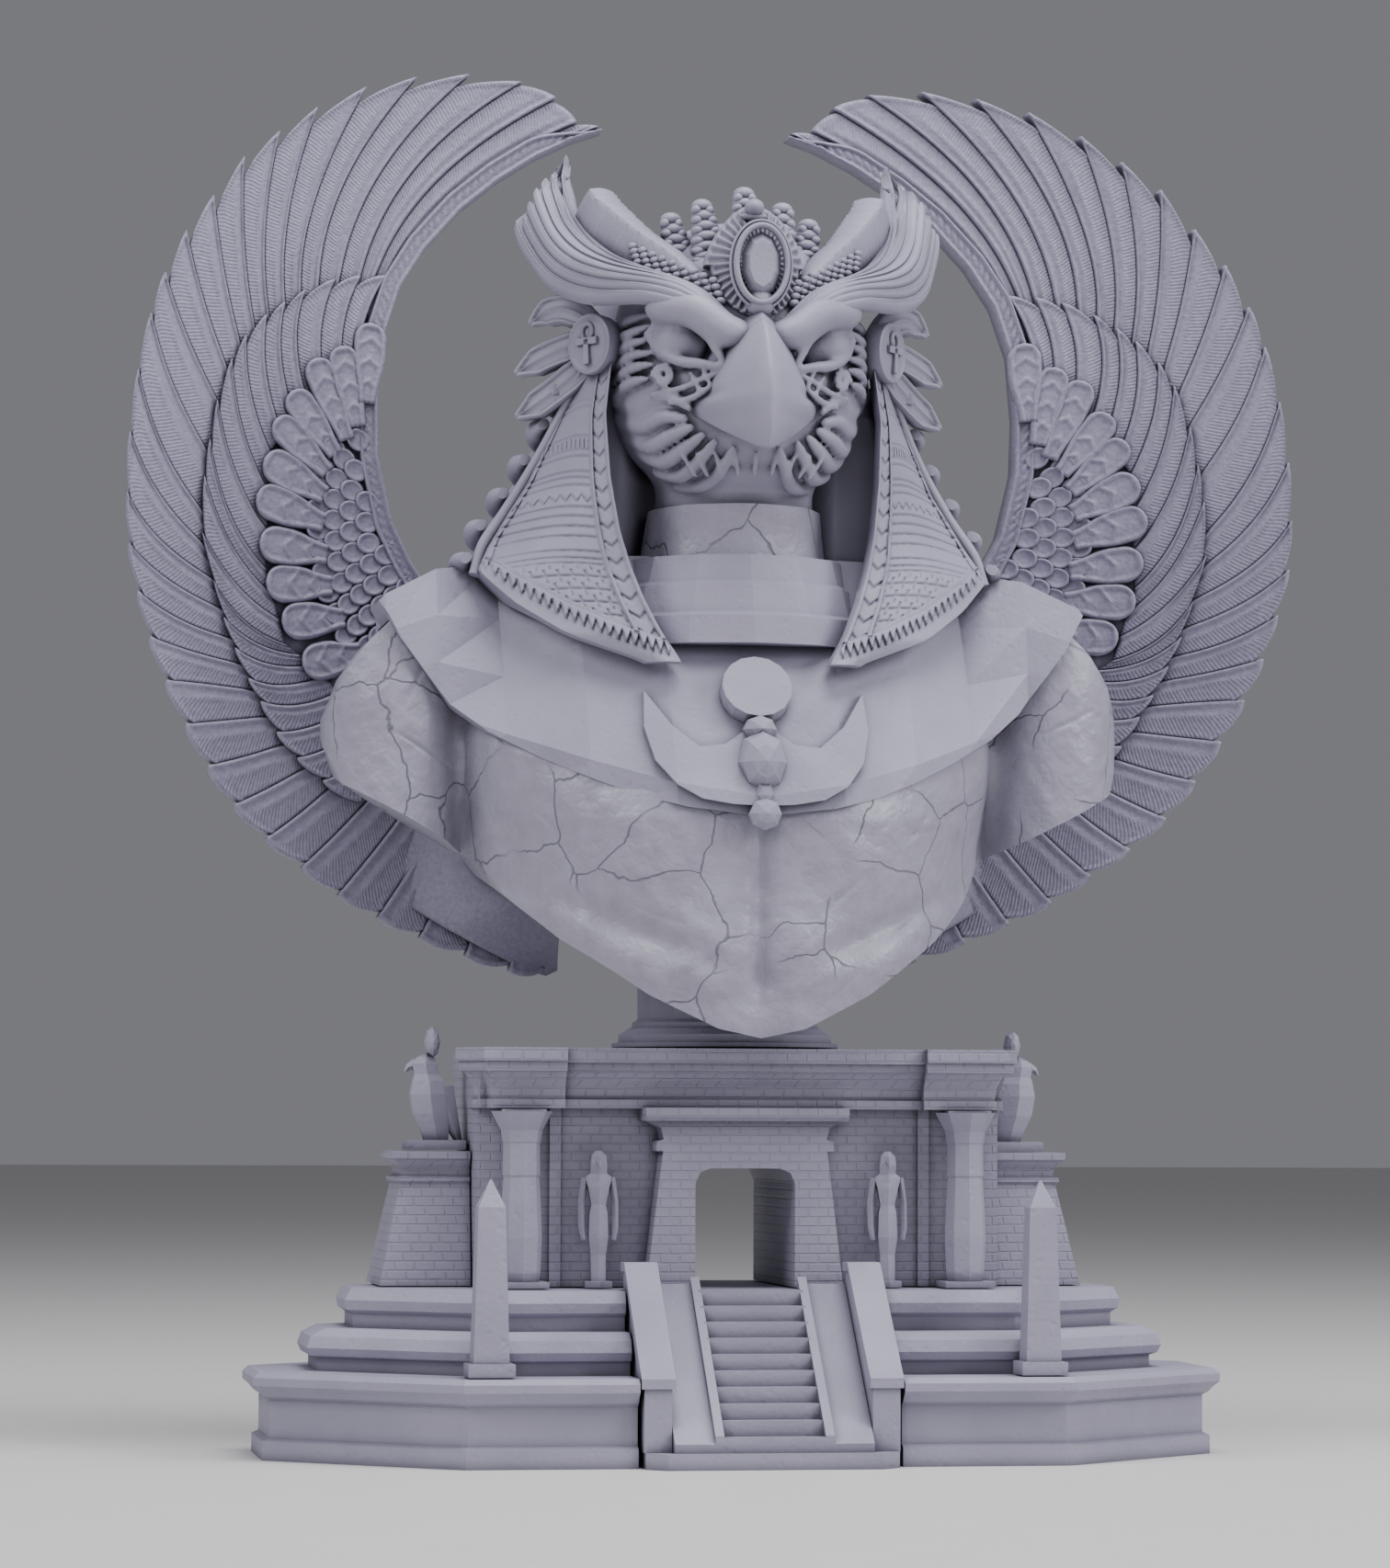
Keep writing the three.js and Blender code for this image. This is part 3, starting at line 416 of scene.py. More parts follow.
def linear(code):
    """Linear colour from an sRGB hex value."""
    parts = [int(code[i:i + 2], 16) / 255 for i in (0, 2, 4)]
    return [c / 12.92 if c <= 0.04045 else ((c + 0.055) / 1.055) ** 2.4 for c in parts] + [1.0]


def add(tree, kind, inputs=None, **settings):
    """Adds a node, sets its fields, and feeds each input a value or another node's socket."""
    node = tree.nodes.new(kind)
    for key, value in settings.items():
        setattr(node, key, value)
    for key, value in (inputs or {}).items():
        if isinstance(value, bpy.types.NodeSocket):
            tree.links.new(value, node.inputs[key])
        else:
            node.inputs[key].default_value = value
    return node


def start(name):
    material = bpy.data.materials.new(name)
    material.use_nodes = True
    tree = material.node_tree
    tree.nodes.clear()
    place = add(tree, "ShaderNodeTexCoord").outputs["Object"]
    return material, tree, place


def close(tree, colour, roughness, normal, ior=1.5, coat=0.0, specular=0.5):
    shader = add(tree, "ShaderNodeBsdfPrincipled", {
        "Base Color": colour, "Roughness": roughness, "Normal": normal, "IOR": ior,
        "Coat Weight": coat, "Specular IOR Level": specular,
    })
    add(tree, "ShaderNodeOutputMaterial", {"Surface": shader.outputs["BSDF"]})


def tint(tree, factor, low, high):
    ramp = add(tree, "ShaderNodeMix", {"A": linear(low), "B": linear(high), "Factor": factor},
               data_type="RGBA")
    return ramp.outputs["Result"]


def pick(node, kind):
    """The output socket of a Mix or texture node that carries that kind of value."""
    return next(s for s in node.outputs if s.type == kind and s.enabled)


def mix_colour(tree, factor, low, high):
    node = tree.nodes.new("ShaderNodeMix")
    node.data_type = "RGBA"
    a, b = [s for s in node.inputs if s.type == "RGBA"]
    share = next(s for s in node.inputs if s.type == "VALUE" and s.enabled)
    for socket, value in ((a, low), (b, high), (share, factor)):
        if isinstance(value, bpy.types.NodeSocket):
            tree.links.new(value, socket)
        else:
            socket.default_value = value
    return pick(node, "RGBA")


def painted_hollow_shade(tree, reach, low, high):
    """Share of painted shade in the hollows, low where ambient occlusion finds little open space round a point within
    reach.
    """
    occlusion_shade = add(tree, "ShaderNodeAmbientOcclusion", {"Distance": reach}, samples=6)
    return add(tree, "ShaderNodeMapRange", {
        "Value": occlusion_shade.outputs["AO"], "From Min": low, "From Max": high,
    }).outputs["Result"]


def cast_resin(name, light, dark, roughness, grain_mm, depth_mm, pits=0.0, wear=0.0):
    """Matte cast polyresin: fine orange-peel grain from the mould, painted shade in the hollows."""
    material, tree, place = start(name)
    fine = add(tree, "ShaderNodeTexNoise", {
        "Vector": place, "Scale": 1000 / grain_mm, "Detail": 4.0, "Roughness": 0.6,
    })
    broad = add(tree, "ShaderNodeTexNoise", {"Vector": place, "Scale": 1000 / 22, "Detail": 3.0})
    height = add(tree, "ShaderNodeBump", {
        "Height": fine.outputs["Fac"], "Strength": 0.55, "Distance": depth_mm * MM,
    })
    normal = height.outputs["Normal"]
    if pits:
        cells = add(tree, "ShaderNodeTexVoronoi", {"Vector": place, "Scale": 1000 / (grain_mm * 2.6)})
        mask = add(tree, "ShaderNodeMapRange", {
            "Value": cells.outputs["Distance"], "From Min": 0.05, "From Max": 0.28,
        })
        normal = add(tree, "ShaderNodeBump", {
            "Height": mask.outputs["Result"], "Strength": pits, "Distance": 0.35 * MM,
            "Normal": normal,
        }).outputs["Normal"]
    # Painted shade: ambient occlusion darkens the hollows toward 3F3D4A.
    occlusion_shade = painted_hollow_shade(tree, 3.0 * MM, 0.25, 0.95)
    patch = mix_colour(tree, broad.outputs["Fac"], linear(light), linear(dark))
    colour = mix_colour(tree, occlusion_shade, linear("3F3D4A"), patch)
    rough = add(tree, "ShaderNodeMapRange", {
        "Value": broad.outputs["Fac"], "From Min": 0.3, "From Max": 0.7,
        "To Min": roughness - 0.05, "To Max": roughness + 0.06,
    })
    close(tree, colour, rough.outputs["Result"], normal)
    return material


def hide_resin():
    """Satin cast polyresin with a sculpted hide: creased skin cells, hairline cracks, soft sheen."""
    material, tree, place = start("satin_cast_resin_hide")
    cells = add(tree, "ShaderNodeTexVoronoi", {
        "Vector": place, "Scale": 1000 / 2.4,
    }, feature="DISTANCE_TO_EDGE")
    crease = add(tree, "ShaderNodeMapRange", {
        "Value": cells.outputs["Distance"], "From Min": 0.0, "From Max": 0.22,
    })
    wander = add(tree, "ShaderNodeTexNoise", {"Vector": place, "Scale": 1000 / 9, "Detail": 3.0})
    shifted = add(tree, "ShaderNodeVectorMath", {
        0: place, 1: wander.outputs["Color"],
    }, operation="MULTIPLY_ADD")
    shifted.inputs[2].default_value = (0, 0, 0)
    tree.links.new(place, shifted.inputs[2])
    shifted.inputs[0].default_value = (0, 0, 0)
    for link in list(shifted.inputs[0].links):
        tree.links.remove(link)
    shifted.inputs[0].default_value = (0.006, 0.006, 0.006)
    plates = add(tree, "ShaderNodeTexVoronoi", {
        "Vector": shifted.outputs["Vector"], "Scale": 1000 / 26,
    }, feature="DISTANCE_TO_EDGE")
    crack = add(tree, "ShaderNodeMapRange", {
        "Value": plates.outputs["Distance"], "From Min": 0.0, "From Max": 0.012,
    })
    spread = add(tree, "ShaderNodeTexNoise", {"Vector": place, "Scale": 1000 / 30, "Detail": 1.0})
    where = add(tree, "ShaderNodeMapRange", {
        "Value": spread.outputs["Fac"], "From Min": 0.5, "From Max": 0.58,
    })
    cracked = add(tree, "ShaderNodeMath", {0: crack.outputs["Result"], 1: where.outputs["Result"]},
                  operation="MAXIMUM")
    swell = add(tree, "ShaderNodeTexNoise", {"Vector": place, "Scale": 1000 / 5, "Detail": 4.0})
    normal = add(tree, "ShaderNodeBump", {
        "Height": swell.outputs["Fac"], "Strength": 0.5, "Distance": 0.7 * MM,
    }).outputs["Normal"]
    normal = add(tree, "ShaderNodeBump", {
        "Height": crease.outputs["Result"], "Strength": 0.22, "Distance": 0.25 * MM, "Normal": normal,
    }).outputs["Normal"]
    normal = add(tree, "ShaderNodeBump", {
        "Height": cracked.outputs["Value"], "Strength": 0.7, "Distance": 0.4 * MM, "Normal": normal,
    }).outputs["Normal"]
    tone = mix_colour(tree, swell.outputs["Fac"], linear("A29FB1"), linear("85828F"))
    tone = mix_colour(tree, cracked.outputs["Value"], linear("62606D"), tone)
    rough = add(tree, "ShaderNodeMapRange", {
        "Value": swell.outputs["Fac"], "From Min": 0.3, "From Max": 0.7, "To Min": 0.34, "To Max": 0.5,
    })
    close(tree, tone, rough.outputs["Result"], normal)
    return material


def barbed_resin():
    """Matte cast polyresin feathers: hatched barbs on one vane, stippled ground on the other."""
    material, tree, place = start("matte_cast_resin_barbs")
    flat = add(tree, "ShaderNodeUVMap", uv_map="Flat")
    part = add(tree, "ShaderNodeSeparateXYZ", {"Vector": flat.outputs["UV"]})
    reach = add(tree, "ShaderNodeMath", {0: part.outputs["Y"]}, operation="ABSOLUTE")
    slope = add(tree, "ShaderNodeMath", {0: reach.outputs["Value"], 1: 0.9}, operation="MULTIPLY")
    phase = add(tree, "ShaderNodeMath", {0: part.outputs["X"], 1: slope.outputs["Value"]},
                operation="SUBTRACT")
    # Barbs 0.8 mm apart, coarser than real ones so that they show.
    turn = add(tree, "ShaderNodeMath", {0: phase.outputs["Value"], 1: 2 * math.pi / 0.8},
               operation="MULTIPLY")
    wave = add(tree, "ShaderNodeMath", {0: turn.outputs["Value"]}, operation="SINE")
    side = add(tree, "ShaderNodeMapRange", {
        "Value": part.outputs["Y"], "From Min": -0.1, "From Max": 0.1,
    })
    hatch = add(tree, "ShaderNodeMath", {0: wave.outputs["Value"], 1: side.outputs["Result"]},
                operation="MULTIPLY")
    stipple = add(tree, "ShaderNodeTexNoise", {"Vector": place, "Scale": 1000 / 1.1, "Detail": 3.0})
    normal = add(tree, "ShaderNodeBump", {
        "Height": hatch.outputs["Value"], "Strength": 0.5, "Distance": 0.12 * MM,
    }).outputs["Normal"]
    normal = add(tree, "ShaderNodeBump", {
        "Height": stipple.outputs["Fac"], "Strength": 0.6, "Distance": 0.4 * MM, "Normal": normal,
    }).outputs["Normal"]
    # Painted shade: ambient occlusion darkens the hollows between the feathers toward 3A3847.
    occlusion_shade = painted_hollow_shade(tree, 2.5 * MM, 0.3, 0.95)
    ground = mix_colour(tree, stipple.outputs["Fac"], linear("9D9AAD"), linear("76738A"))
    colour = mix_colour(tree, occlusion_shade, linear("3A3847"), ground)
    close(tree, colour, 0.55, normal)
    return material


def gem_resin():
    """Gloss clear-coated resin gem: hard facets with a mirror coat over grey."""
    material, tree, place = start("gloss_coated_resin_gem")
    cloud = add(tree, "ShaderNodeTexNoise", {"Vector": place, "Scale": 1000 / 6, "Detail": 2.0})
    colour = mix_colour(tree, cloud.outputs["Fac"], linear("8E8B9C"), linear("6C6978"))
    normal = add(tree, "ShaderNodeBump", {
        "Height": cloud.outputs["Fac"], "Strength": 0.05, "Distance": 0.1 * MM,
    }).outputs["Normal"]
    close(tree, colour, 0.16, normal, coat=0.6)
    return material


def brick_resin(name, wide, high, joint, strength):
    """Matte cast polyresin masonry: shallow courses pressed in the mould, gritty stone face."""
    material, tree, place = start(name)
    part = add(tree, "ShaderNodeSeparateXYZ", {"Vector": place})
    across = add(tree, "ShaderNodeMath", {0: part.outputs["X"], 1: part.outputs["Y"]}, operation="ADD")
    wall = add(tree, "ShaderNodeCombineXYZ", {"X": across.outputs["Value"], "Y": part.outputs["Z"]})
    courses = add(tree, "ShaderNodeTexBrick", {
        "Vector": wall.outputs["Vector"], "Scale": 1.0, "Brick Width": wide * MM,
        "Row Height": high * MM, "Mortar Size": joint * MM, "Mortar Smooth": 0.6,
    })
    grit = add(tree, "ShaderNodeTexNoise", {"Vector": place, "Scale": 1000 / 1.4, "Detail": 5.0})
    broad = add(tree, "ShaderNodeTexNoise", {"Vector": place, "Scale": 1000 / 18, "Detail": 3.0})
    normal = add(tree, "ShaderNodeBump", {
        "Height": courses.outputs["Fac"], "Strength": strength, "Distance": 0.35 * MM,
    }, invert=True).outputs["Normal"]
    normal = add(tree, "ShaderNodeBump", {
        "Height": grit.outputs["Fac"], "Strength": 0.5, "Distance": 0.3 * MM, "Normal": normal,
    }).outputs["Normal"]
    # Painted shade: ambient occlusion darkens the hollows toward 403E4B.
    occlusion_shade = painted_hollow_shade(tree, 3.0 * MM, 0.25, 0.95)
    patch = mix_colour(tree, broad.outputs["Fac"], linear("9B98AA"), linear("817E90"))
    colour = mix_colour(tree, occlusion_shade, linear("403E4B"), patch)
    close(tree, colour, 0.62, normal)
    return material


FINISH = {}


def finishes():
    FINISH["stone"] = cast_resin("matte_cast_resin_stone", "A19EB0", "858294", 0.6, 1.3, 0.3, pits=0.3)
    FINISH["ornament"] = cast_resin("matte_cast_resin_ornament", "9F9CAE", "817E90", 0.52, 0.8, 0.16)
    FINISH["satin"] = hide_resin()
    FINISH["smooth"] = cast_resin("satin_cast_resin_smooth", "A6A3B5", "8C899A", 0.42, 1.2, 0.12)
    FINISH["feather"] = barbed_resin()
    FINISH["gem"] = gem_resin()
    FINISH["brick"] = brick_resin("matte_cast_resin_masonry", 4.6, 2.1, 0.28, 0.7)


# Settings

class BustSettings(bpy.types.PropertyGroup):
    rim_height: bpy.props.FloatProperty(
        name="Feather rim", description="Height of the raised rim round each feather",
        default=0.00055, unit="LENGTH")
    layer_step: bpy.props.FloatProperty(
        name="Feather layer", description="Step from one row of feathers to the next",
        default=0.0011, unit="LENGTH")
    bead_pitch: bpy.props.FloatProperty(
        name="Bead pitch", description="Distance between the drop beads of the collar",
        default=0.0046, unit="LENGTH")
    flute_pitch: bpy.props.FloatProperty(
        name="Cornice flute pitch", description="Distance between the flutes of the cavetto cornice",
        default=0.0029, unit="LENGTH")
    floor_colour: bpy.props.FloatVectorProperty(
        name="Floor", description="Colour of the studio floor", subtype="COLOR", size=3,
        default=(0.62, 0.61, 0.6))


def settings():
    return bpy.context.scene.bust


# Wings

# Feather boundaries at key feathers: [feather, root x, root z, control x, control z].
PRIMARY_FAN = np.array([
    [0, 79, 262, 74, 300], [1, 80, 268, 73.5, 301], [3, 85, 274, 80, 309], [5, 94, 273, 96, 300],
    [6, 98, 271, 102, 292], [8, 105, 262, 111, 285], [10, 109.7, 250, 118, 272],
    [12, 112, 236, 127, 258], [14, 112.5, 212, 133, 226], [16, 114, 202, 135, 210],
    [18, 111, 190, 128, 192], [20, 104, 178, 119, 179.5], [22, 95, 169, 108, 163],
    [24, 86.5, 160, 95.5, 150.5], [27, 64, 147, 70, 137], [29, 50, 138, 53, 128], [31, 36, 132, 36.5, 121],
])
SECOND_TIPS = np.array([
    [77.3, 281], [83.8, 280.5], [90.2, 279.2], [97.6, 275.8], [102.6, 272.4], [107.1, 269],
    [112.1, 263.6], [115.7, 257.6], [119.2, 247.3], [120.9, 237.7], [122.2, 228.7], [122.6, 215.1],
    [119.7, 204], [117.1, 195.4], [114.3, 188.4], [110.8, 181.3], [107.8, 176], [103.8, 168.8],
    [98.7, 162.8], [92.3, 157.6], [84, 152],
])
SECOND_FAN = np.array([
    [0, 84, 262, 83, 273], [3, 97, 250, 102, 264], [6, 106, 236, 113, 250], [9, 107, 208, 118, 218],
    [12, 102, 190, 113.5, 193], [15, 92, 183, 103, 178], [17, 86, 175, 95.5, 169],
    [20, 74, 166, 78, 156],
])
COVERT_TIPS = np.array([
    [81.1, 269.2], [88.6, 263], [95.2, 259.4], [101, 250.9], [104.8, 243.9], [107.5, 234.2],
    [109.4, 225.1], [108.6, 214.1], [106.9, 204.3], [102.9, 195.2], [97.6, 185],
])
COVERT_ROOTS = np.array([
    [82.2, 249.5], [84.4, 243.6], [87, 240.2], [89.8, 236.5], [91.8, 231.9], [92.4, 226.3],
    [92.5, 219.6], [91.6, 212.1], [90.3, 204.6], [87.2, 197], [83, 189],
])


def wing_front(x):
    return wing_back(x) - 2.8


def rim(gap, width):
    """Rounded bead of height 1 whose crest runs half its width in from an edge."""
    return np.sqrt(np.clip(1 - ((gap - width / 2) / (width / 2)) ** 2, 0, 1))


def feather(cast, upper, lower, lift, depth, rim_mm, round_end, tilt=0.45, bottom=None, across=15):
    """One feather between its two edge lines (root to end, as [x, z]), walled down to its bottom."""
    n = len(upper)
    s = (1 - np.cos(np.linspace(0, 1, across) * np.pi)) / 2
    s = 0.45 * s + 0.55 * np.linspace(0, 1, across)
    span = np.linalg.norm(lower - upper, axis=1)
    run = np.concatenate([[0], np.cumsum(np.linalg.norm(np.diff((upper + lower) / 2, axis=0), axis=1))])
    total = run[-1]
    place = upper[:, None] + (lower - upper)[:, None] * s[None, :, None]
    tip_run = (upper[-1] + lower[-1]) / 2 - (upper[-3] + lower[-3]) / 2
    tip_run /= np.linalg.norm(tip_run) + 1e-9
    pull = smooth(0.72, 1.0, run / total)[:, None] * round_end * (1 - np.abs(2 * s[None] - 1) ** 2.4)
    place = place + tip_run * pull[..., None]
    side_gap = np.minimum(s, 1 - s)[None] * span[:, None]
    end_gap = (total - run)[:, None] + 0 * s[None]
    bead = np.maximum(rim(side_gap, 1.25) * (0.35 + 0.65 * (s[None] < 0.5)), rim(end_gap, 1.35))
    rib_at = lerp(0.52, 0.36, run / total)[:, None]
    rib_gap = (s[None] - rib_at) * span[:, None]
    rib = np.exp(-(rib_gap / 0.42) ** 2) * smooth(total, total - 5, run)[:, None]
    high = depth + rim_mm * bead + 0.7 * rim_mm * rib + tilt * (0.5 - s[None])
    high = high + 0.35 * np.sin(s * np.pi)[None]
    y = wing_front(place[..., 0]) - lift - high
    top = np.stack([place[..., 0], y, place[..., 1]], -1)
    if bottom is None:
        under_y = wing_front(place[..., 0]) - lift + 0.9
    else:
        under_y = wing_back(place[..., 0]) + bottom
    inner = place + ((upper + lower) / 2)[:, None] * 0.0
    under = np.stack([inner[..., 0], under_y, inner[..., 1]], -1)
    flat = np.stack([np.repeat(run[:, None], across, 1), rib_gap], -1)
    cast.patch(top, under, flat)


def fan_edge(fan, tips, k, count, cut=0.0):
    root = [np.interp(k, fan[:, 0], fan[:, 1]), np.interp(k, fan[:, 0], fan[:, 2])]
    control = [np.interp(k, fan[:, 0], fan[:, 3]), np.interp(k, fan[:, 0], fan[:, 4])]
    i = min(int(k), len(tips) - 2)
    tip = lerp(tips[i], tips[i + 1], k - i)
    line = bend(root, control, tip, 60)
    length = np.linalg.norm(np.diff(line, axis=0), axis=1).sum()
    t = np.linspace(0, 1, count)
    t = 0.75 * t + 0.25 * (1 - (1 - t) ** 2.2)
    steps = np.concatenate([[0], np.cumsum(np.linalg.norm(np.diff(line, axis=0), axis=1))])
    goal = t * (length - cut)
    return np.stack([np.interp(goal, steps, line[:, 0]), np.interp(goal, steps, line[:, 1])], 1)


def make_wing():
    """Right wing: leading band, primaries, second row, covert loops, scales and plain back."""
    cast = Casting()
    rim_mm = settings().rim_height / MM
    step = settings().layer_step / MM
    for k in range(len(FEATHER_TIPS) - 1):
        notch = 1.6 if k < 3 else lerp(4.6, 1.6, float(smooth(7, 14, k)))
        upper = fan_edge(PRIMARY_FAN, FEATHER_TIPS, k, 46)
        lower = fan_edge(PRIMARY_FAN, FEATHER_TIPS, k + 1, 46, cut=notch)
        feather(cast, upper, lower, 0, 0.1, rim_mm * 1.15, 1.0 if k < 12 else 1.5, bottom=2.6)
    for k in range(len(SECOND_TIPS) - 1):
        upper = fan_edge(SECOND_FAN, SECOND_TIPS, k, 30)
        lower = fan_edge(SECOND_FAN, SECOND_TIPS, k + 1, 30, cut=2.6 if k < 9 else 1.4)
        feather(cast, upper, lower, step, 0.2, rim_mm, 1.2, across=13)
    for tip, root, k in zip(COVERT_TIPS, COVERT_ROOTS, range(11)):
        loop(cast, root, tip, 4.0 if k < 5 else 4.6, 2.1 * step, rim_mm, k)
    scales(cast, 1.9 * step, rim_mm)
    leading_band(cast, rim_mm)
    wing_core(cast)
    return cast


def loop(cast, root, tip, half, lift, rim_mm, k):
    """Covert feather: rounded end, thick rim and chevron bars across its sunk panel."""
    root, tip = np.asarray(root, float), np.asarray(tip, float)
    run = tip - root
    length = np.linalg.norm(run)
    run /= length
    side = np.array([-run[1], run[0]])
    n, m = 40, 17
    t = np.linspace(0, 1, n) ** 0.85
    s = np.linspace(-1, 1, m)
    gap = (1 - t) * length
    width = half * np.where(gap < half, np.sqrt(np.clip(1 - (1 - gap / half) ** 2, 0.004, 1)), 1)
    width *= lerp(0.55, 1.0, smooth(0, 0.6, t))
    place = root + run * (t * length)[:, None, None] + side * (s[None] * width[:, None])[..., None]
    edge = np.minimum((1 - np.abs(s))[None] * width[:, None], gap[:, None] * 0.9)
    bead = rim(edge, 1.5)
    position = (t * length)[:, None] + np.abs(s)[None] * width[:, None] * 0.75
    bars = np.zeros((n, m))
    for bar in np.arange(5.5, length - half * 0.9, 5.2):
        bars = np.maximum(bars, np.exp(-((position - bar) / 0.55) ** 2))
    bars *= edge > 0.9
    high = 0.1 + 1.25 * rim_mm * np.maximum(bead, 0.8 * bars)
    high = high + 0.45 * np.clip(1 - s ** 2, 0, 1)[None]
    y = wing_front(place[..., 0]) - lift - high
    under = wing_front(place[..., 0]) - lift + 2.0
    top = np.stack([place[..., 0], y, place[..., 1]], -1)
    flat = np.stack([np.repeat((t * length)[:, None], m, 1), -1 - np.abs(s[None] * width[:, None])], -1)
    cast.patch(top, np.stack([place[..., 0], under, place[..., 1]], -1), flat)


def scales(cast, lift, rim_mm):
    """Fish scales between the leading band and the covert loops."""
    inner = along(WING_INNER, 200)
    centre = np.array([77, 200.0])
    for row in range(7):
        for k in range(13):
            z = 243 - k * 5.0 - (row % 2) * 2.5
            root_x = np.interp(z, COVERT_ROOTS[::-1, 1], COVERT_ROOTS[::-1, 0])
            x = root_x + 1.6 - row * 4.1
            edge = inner[np.argmin(np.abs(inner[60:150, 1] - z)) + 60, 0]
            if x < edge + 4.4 or z < 186:
                continue
            away = np.array([x, z]) - (centre + [-22, 18])
            away /= np.linalg.norm(away)
            scale_disc(cast, np.array([x, z]), away, 3.1, lift - row * 0.12, rim_mm)


def scale_disc(cast, centre, away, radius, lift, rim_mm):
    side = np.array([-away[1], away[0]])
    share = np.array([0.02, 0.4, 0.66, 0.76, 0.86, 0.95, 1.0])
    angle = np.linspace(0, 2 * np.pi, 18, endpoint=False)
    radius_here = radius * share[:, None] * (1 + 0 * angle)
    place = (centre + away * (radius_here * np.cos(angle))[..., None]
             + side * (radius_here * np.sin(angle) * 0.86)[..., None])
    front = 0.5 + 0.5 * np.cos(angle)[None]
    high = (0.1 + rim_mm * 1.2 * rim((1 - share) * radius, 1.1)[:, None] * (0.3 + 0.7 * front)
            + 0.55 * (front - 0.5) * share[:, None])
    y = wing_front(place[..., 0]) - lift - high
    top = np.stack([place[..., 0], y, place[..., 1]], -1)
    wall = top[-1:].copy()
    wall[..., 1] = wing_front(wall[..., 0]) - lift + 1.6
    cast.rings(np.concatenate([top, wall], 0))


def leading_band(cast, rim_mm):
    """Band along the inner edge: two cords and a twisted braid between them."""
    line = along(WING_INNER, 220, 0.0, 0.72)
    run = np.gradient(line, axis=0)
    run /= np.linalg.norm(run, axis=1)[:, None]
    out = np.stack([-run[:, 1], run[:, 0]], 1)
    out *= np.where(out[:, :1] * 1 + out[:, 1:] * 0.6 > 0, 1, -1)
    share = smooth(0, 0.1, np.linspace(0, 1, 220))
    width = 0.6 + 4.2 * share
    s = np.linspace(0, 1, 15)
    place = line[:, None] + out[:, None] * (width[:, None] * s[None])[..., None]
    gap = np.minimum(s, 1 - s)[None] * width[:, None]
    length = np.concatenate([[0], np.cumsum(np.linalg.norm(np.diff(line, axis=0), axis=1))])
    middle = (s[None] - 0.5) * width[:, None]
    twist = 0.5 + 0.5 * np.sin(2 * np.pi * (length[:, None] + middle * 1.1) / 2.5)
    braid = twist * np.exp(-(middle / 0.95) ** 4)
    high = 1.5 + 0.8 * rim(gap, 1.1) + 0.6 * braid
    y = wing_front(place[..., 0]) - high
    top = np.stack([place[..., 0], y, place[..., 1]], -1)
    under = np.stack([place[..., 0], wing_back(place[..., 0]) + 2.7 + 0 * y, place[..., 1]], -1)
    under[:, :2, 1] -= 0.7
    flat = np.stack([np.repeat(length[:, None], 15, 1), -1 - 0 * middle], -1)
    cast.patch(top, under, flat)


def wing_core(cast):
    """Slab under the feathers, thick where the wing joins the shoulder blade."""
    t = np.linspace(0, 1, 90)
    inner = along(WING_INNER, 90)
    outer = along(FEATHER_TIPS, 90)
    s = np.linspace(0, 1, 22)
    pull = 0.9 * smooth(0, 0.1, t)[:, None]
    reach = lerp(0.0, 0.9, s)[None] * pull + 0.02
    place = inner[:, None] + (outer - inner)[:, None] * reach[..., None]
    x, z = place[..., 0], place[..., 1]
    root = smooth(74, 44, x) * smooth(222, 196, z) * smooth(112, 130, z)
    top = np.stack([x, wing_back(x) - 2.6 - 12 * root, z], -1)
    under = np.stack([x, wing_back(x) + 2.2, z], -1)
    cast.patch(top, under)


class BUST_OT_wings(bpy.types.Operator):
    """Both wings: rows of rimmed feathers, covert loops, scales and the braided leading band"""
    bl_idname = "bust.wings"
    bl_label = "Wings"

    def execute(self, context):
        right = make_wing()
        right.piece("wing_right_feathers", FINISH["feather"], "resin_feather", ["wing_right"])
        right.mirrored().piece("wing_left_feathers", FINISH["feather"], "resin_feather", ["wing_left"])
        return {"FINISHED"}


# Torso

def chest_y(x, z):
    across = np.abs(x)
    droop = lerp(50, 26, smooth(138, 166, z))
    chest = read(CHEST_LINE, z) + droop * (np.minimum(across, 70) / 62) ** 2.6
    bulge = np.clip(1 - ((across - 79) / 16.5) ** 2, 0, 1)
    arm = 19 - 22 * np.sqrt(bulge)
    return lerp(chest, arm, smooth(58, 68, across))


def torso_back_y(x, z):
    across = np.abs(x) / TORSO_HALF
    waist = 10 * smooth(150, 112, z)
    return TORSO_BACK_Y - waist - (TORSO_BACK_Y - 22) * across ** 3.4


def mound(x, z, cx, cz, rx, rz, turn=0.0, power=1.0):
    """Soft oval swelling of height 1."""
    dx, dz = x - cx, z - cz
    c, s = math.cos(turn), math.sin(turn)
    u = (dx * c + dz * s) / rx
    v = (-dx * s + dz * c) / rz
    return np.exp(-(u * u + v * v) ** power)


def muscle(x, z):
    """Relief of chest, ribs and belly, in millimetres toward the front."""
    a = np.abs(x)
    swell = 3.2 * mound(a, z, 36, 142, 24, 17, -0.25, 1.6)
    swell += 1.6 * mound(a, z, 52, 150, 12, 10, 0.3)
    swell -= 2.6 * np.exp(-(a / 2.6) ** 2) * smooth(100, 110, z) * smooth(150, 140, z)
    swell -= 2.2 * mound(a, z, 30, 121, 22, 3.2, 0.42)
    swell += 2.6 * mound(a, z, 10.5, 112, 8.5, 8, 0.2, 1.4)
    swell += 2.2 * mound(a, z, 30, 112.5, 9, 5, 0.5)
    swell += 1.2 * mound(a, z, 44, 124, 8, 5, 0.6)
    swell += 1.6 * mound(a, z, 8, 99, 7, 5, 0.3)
    return swell


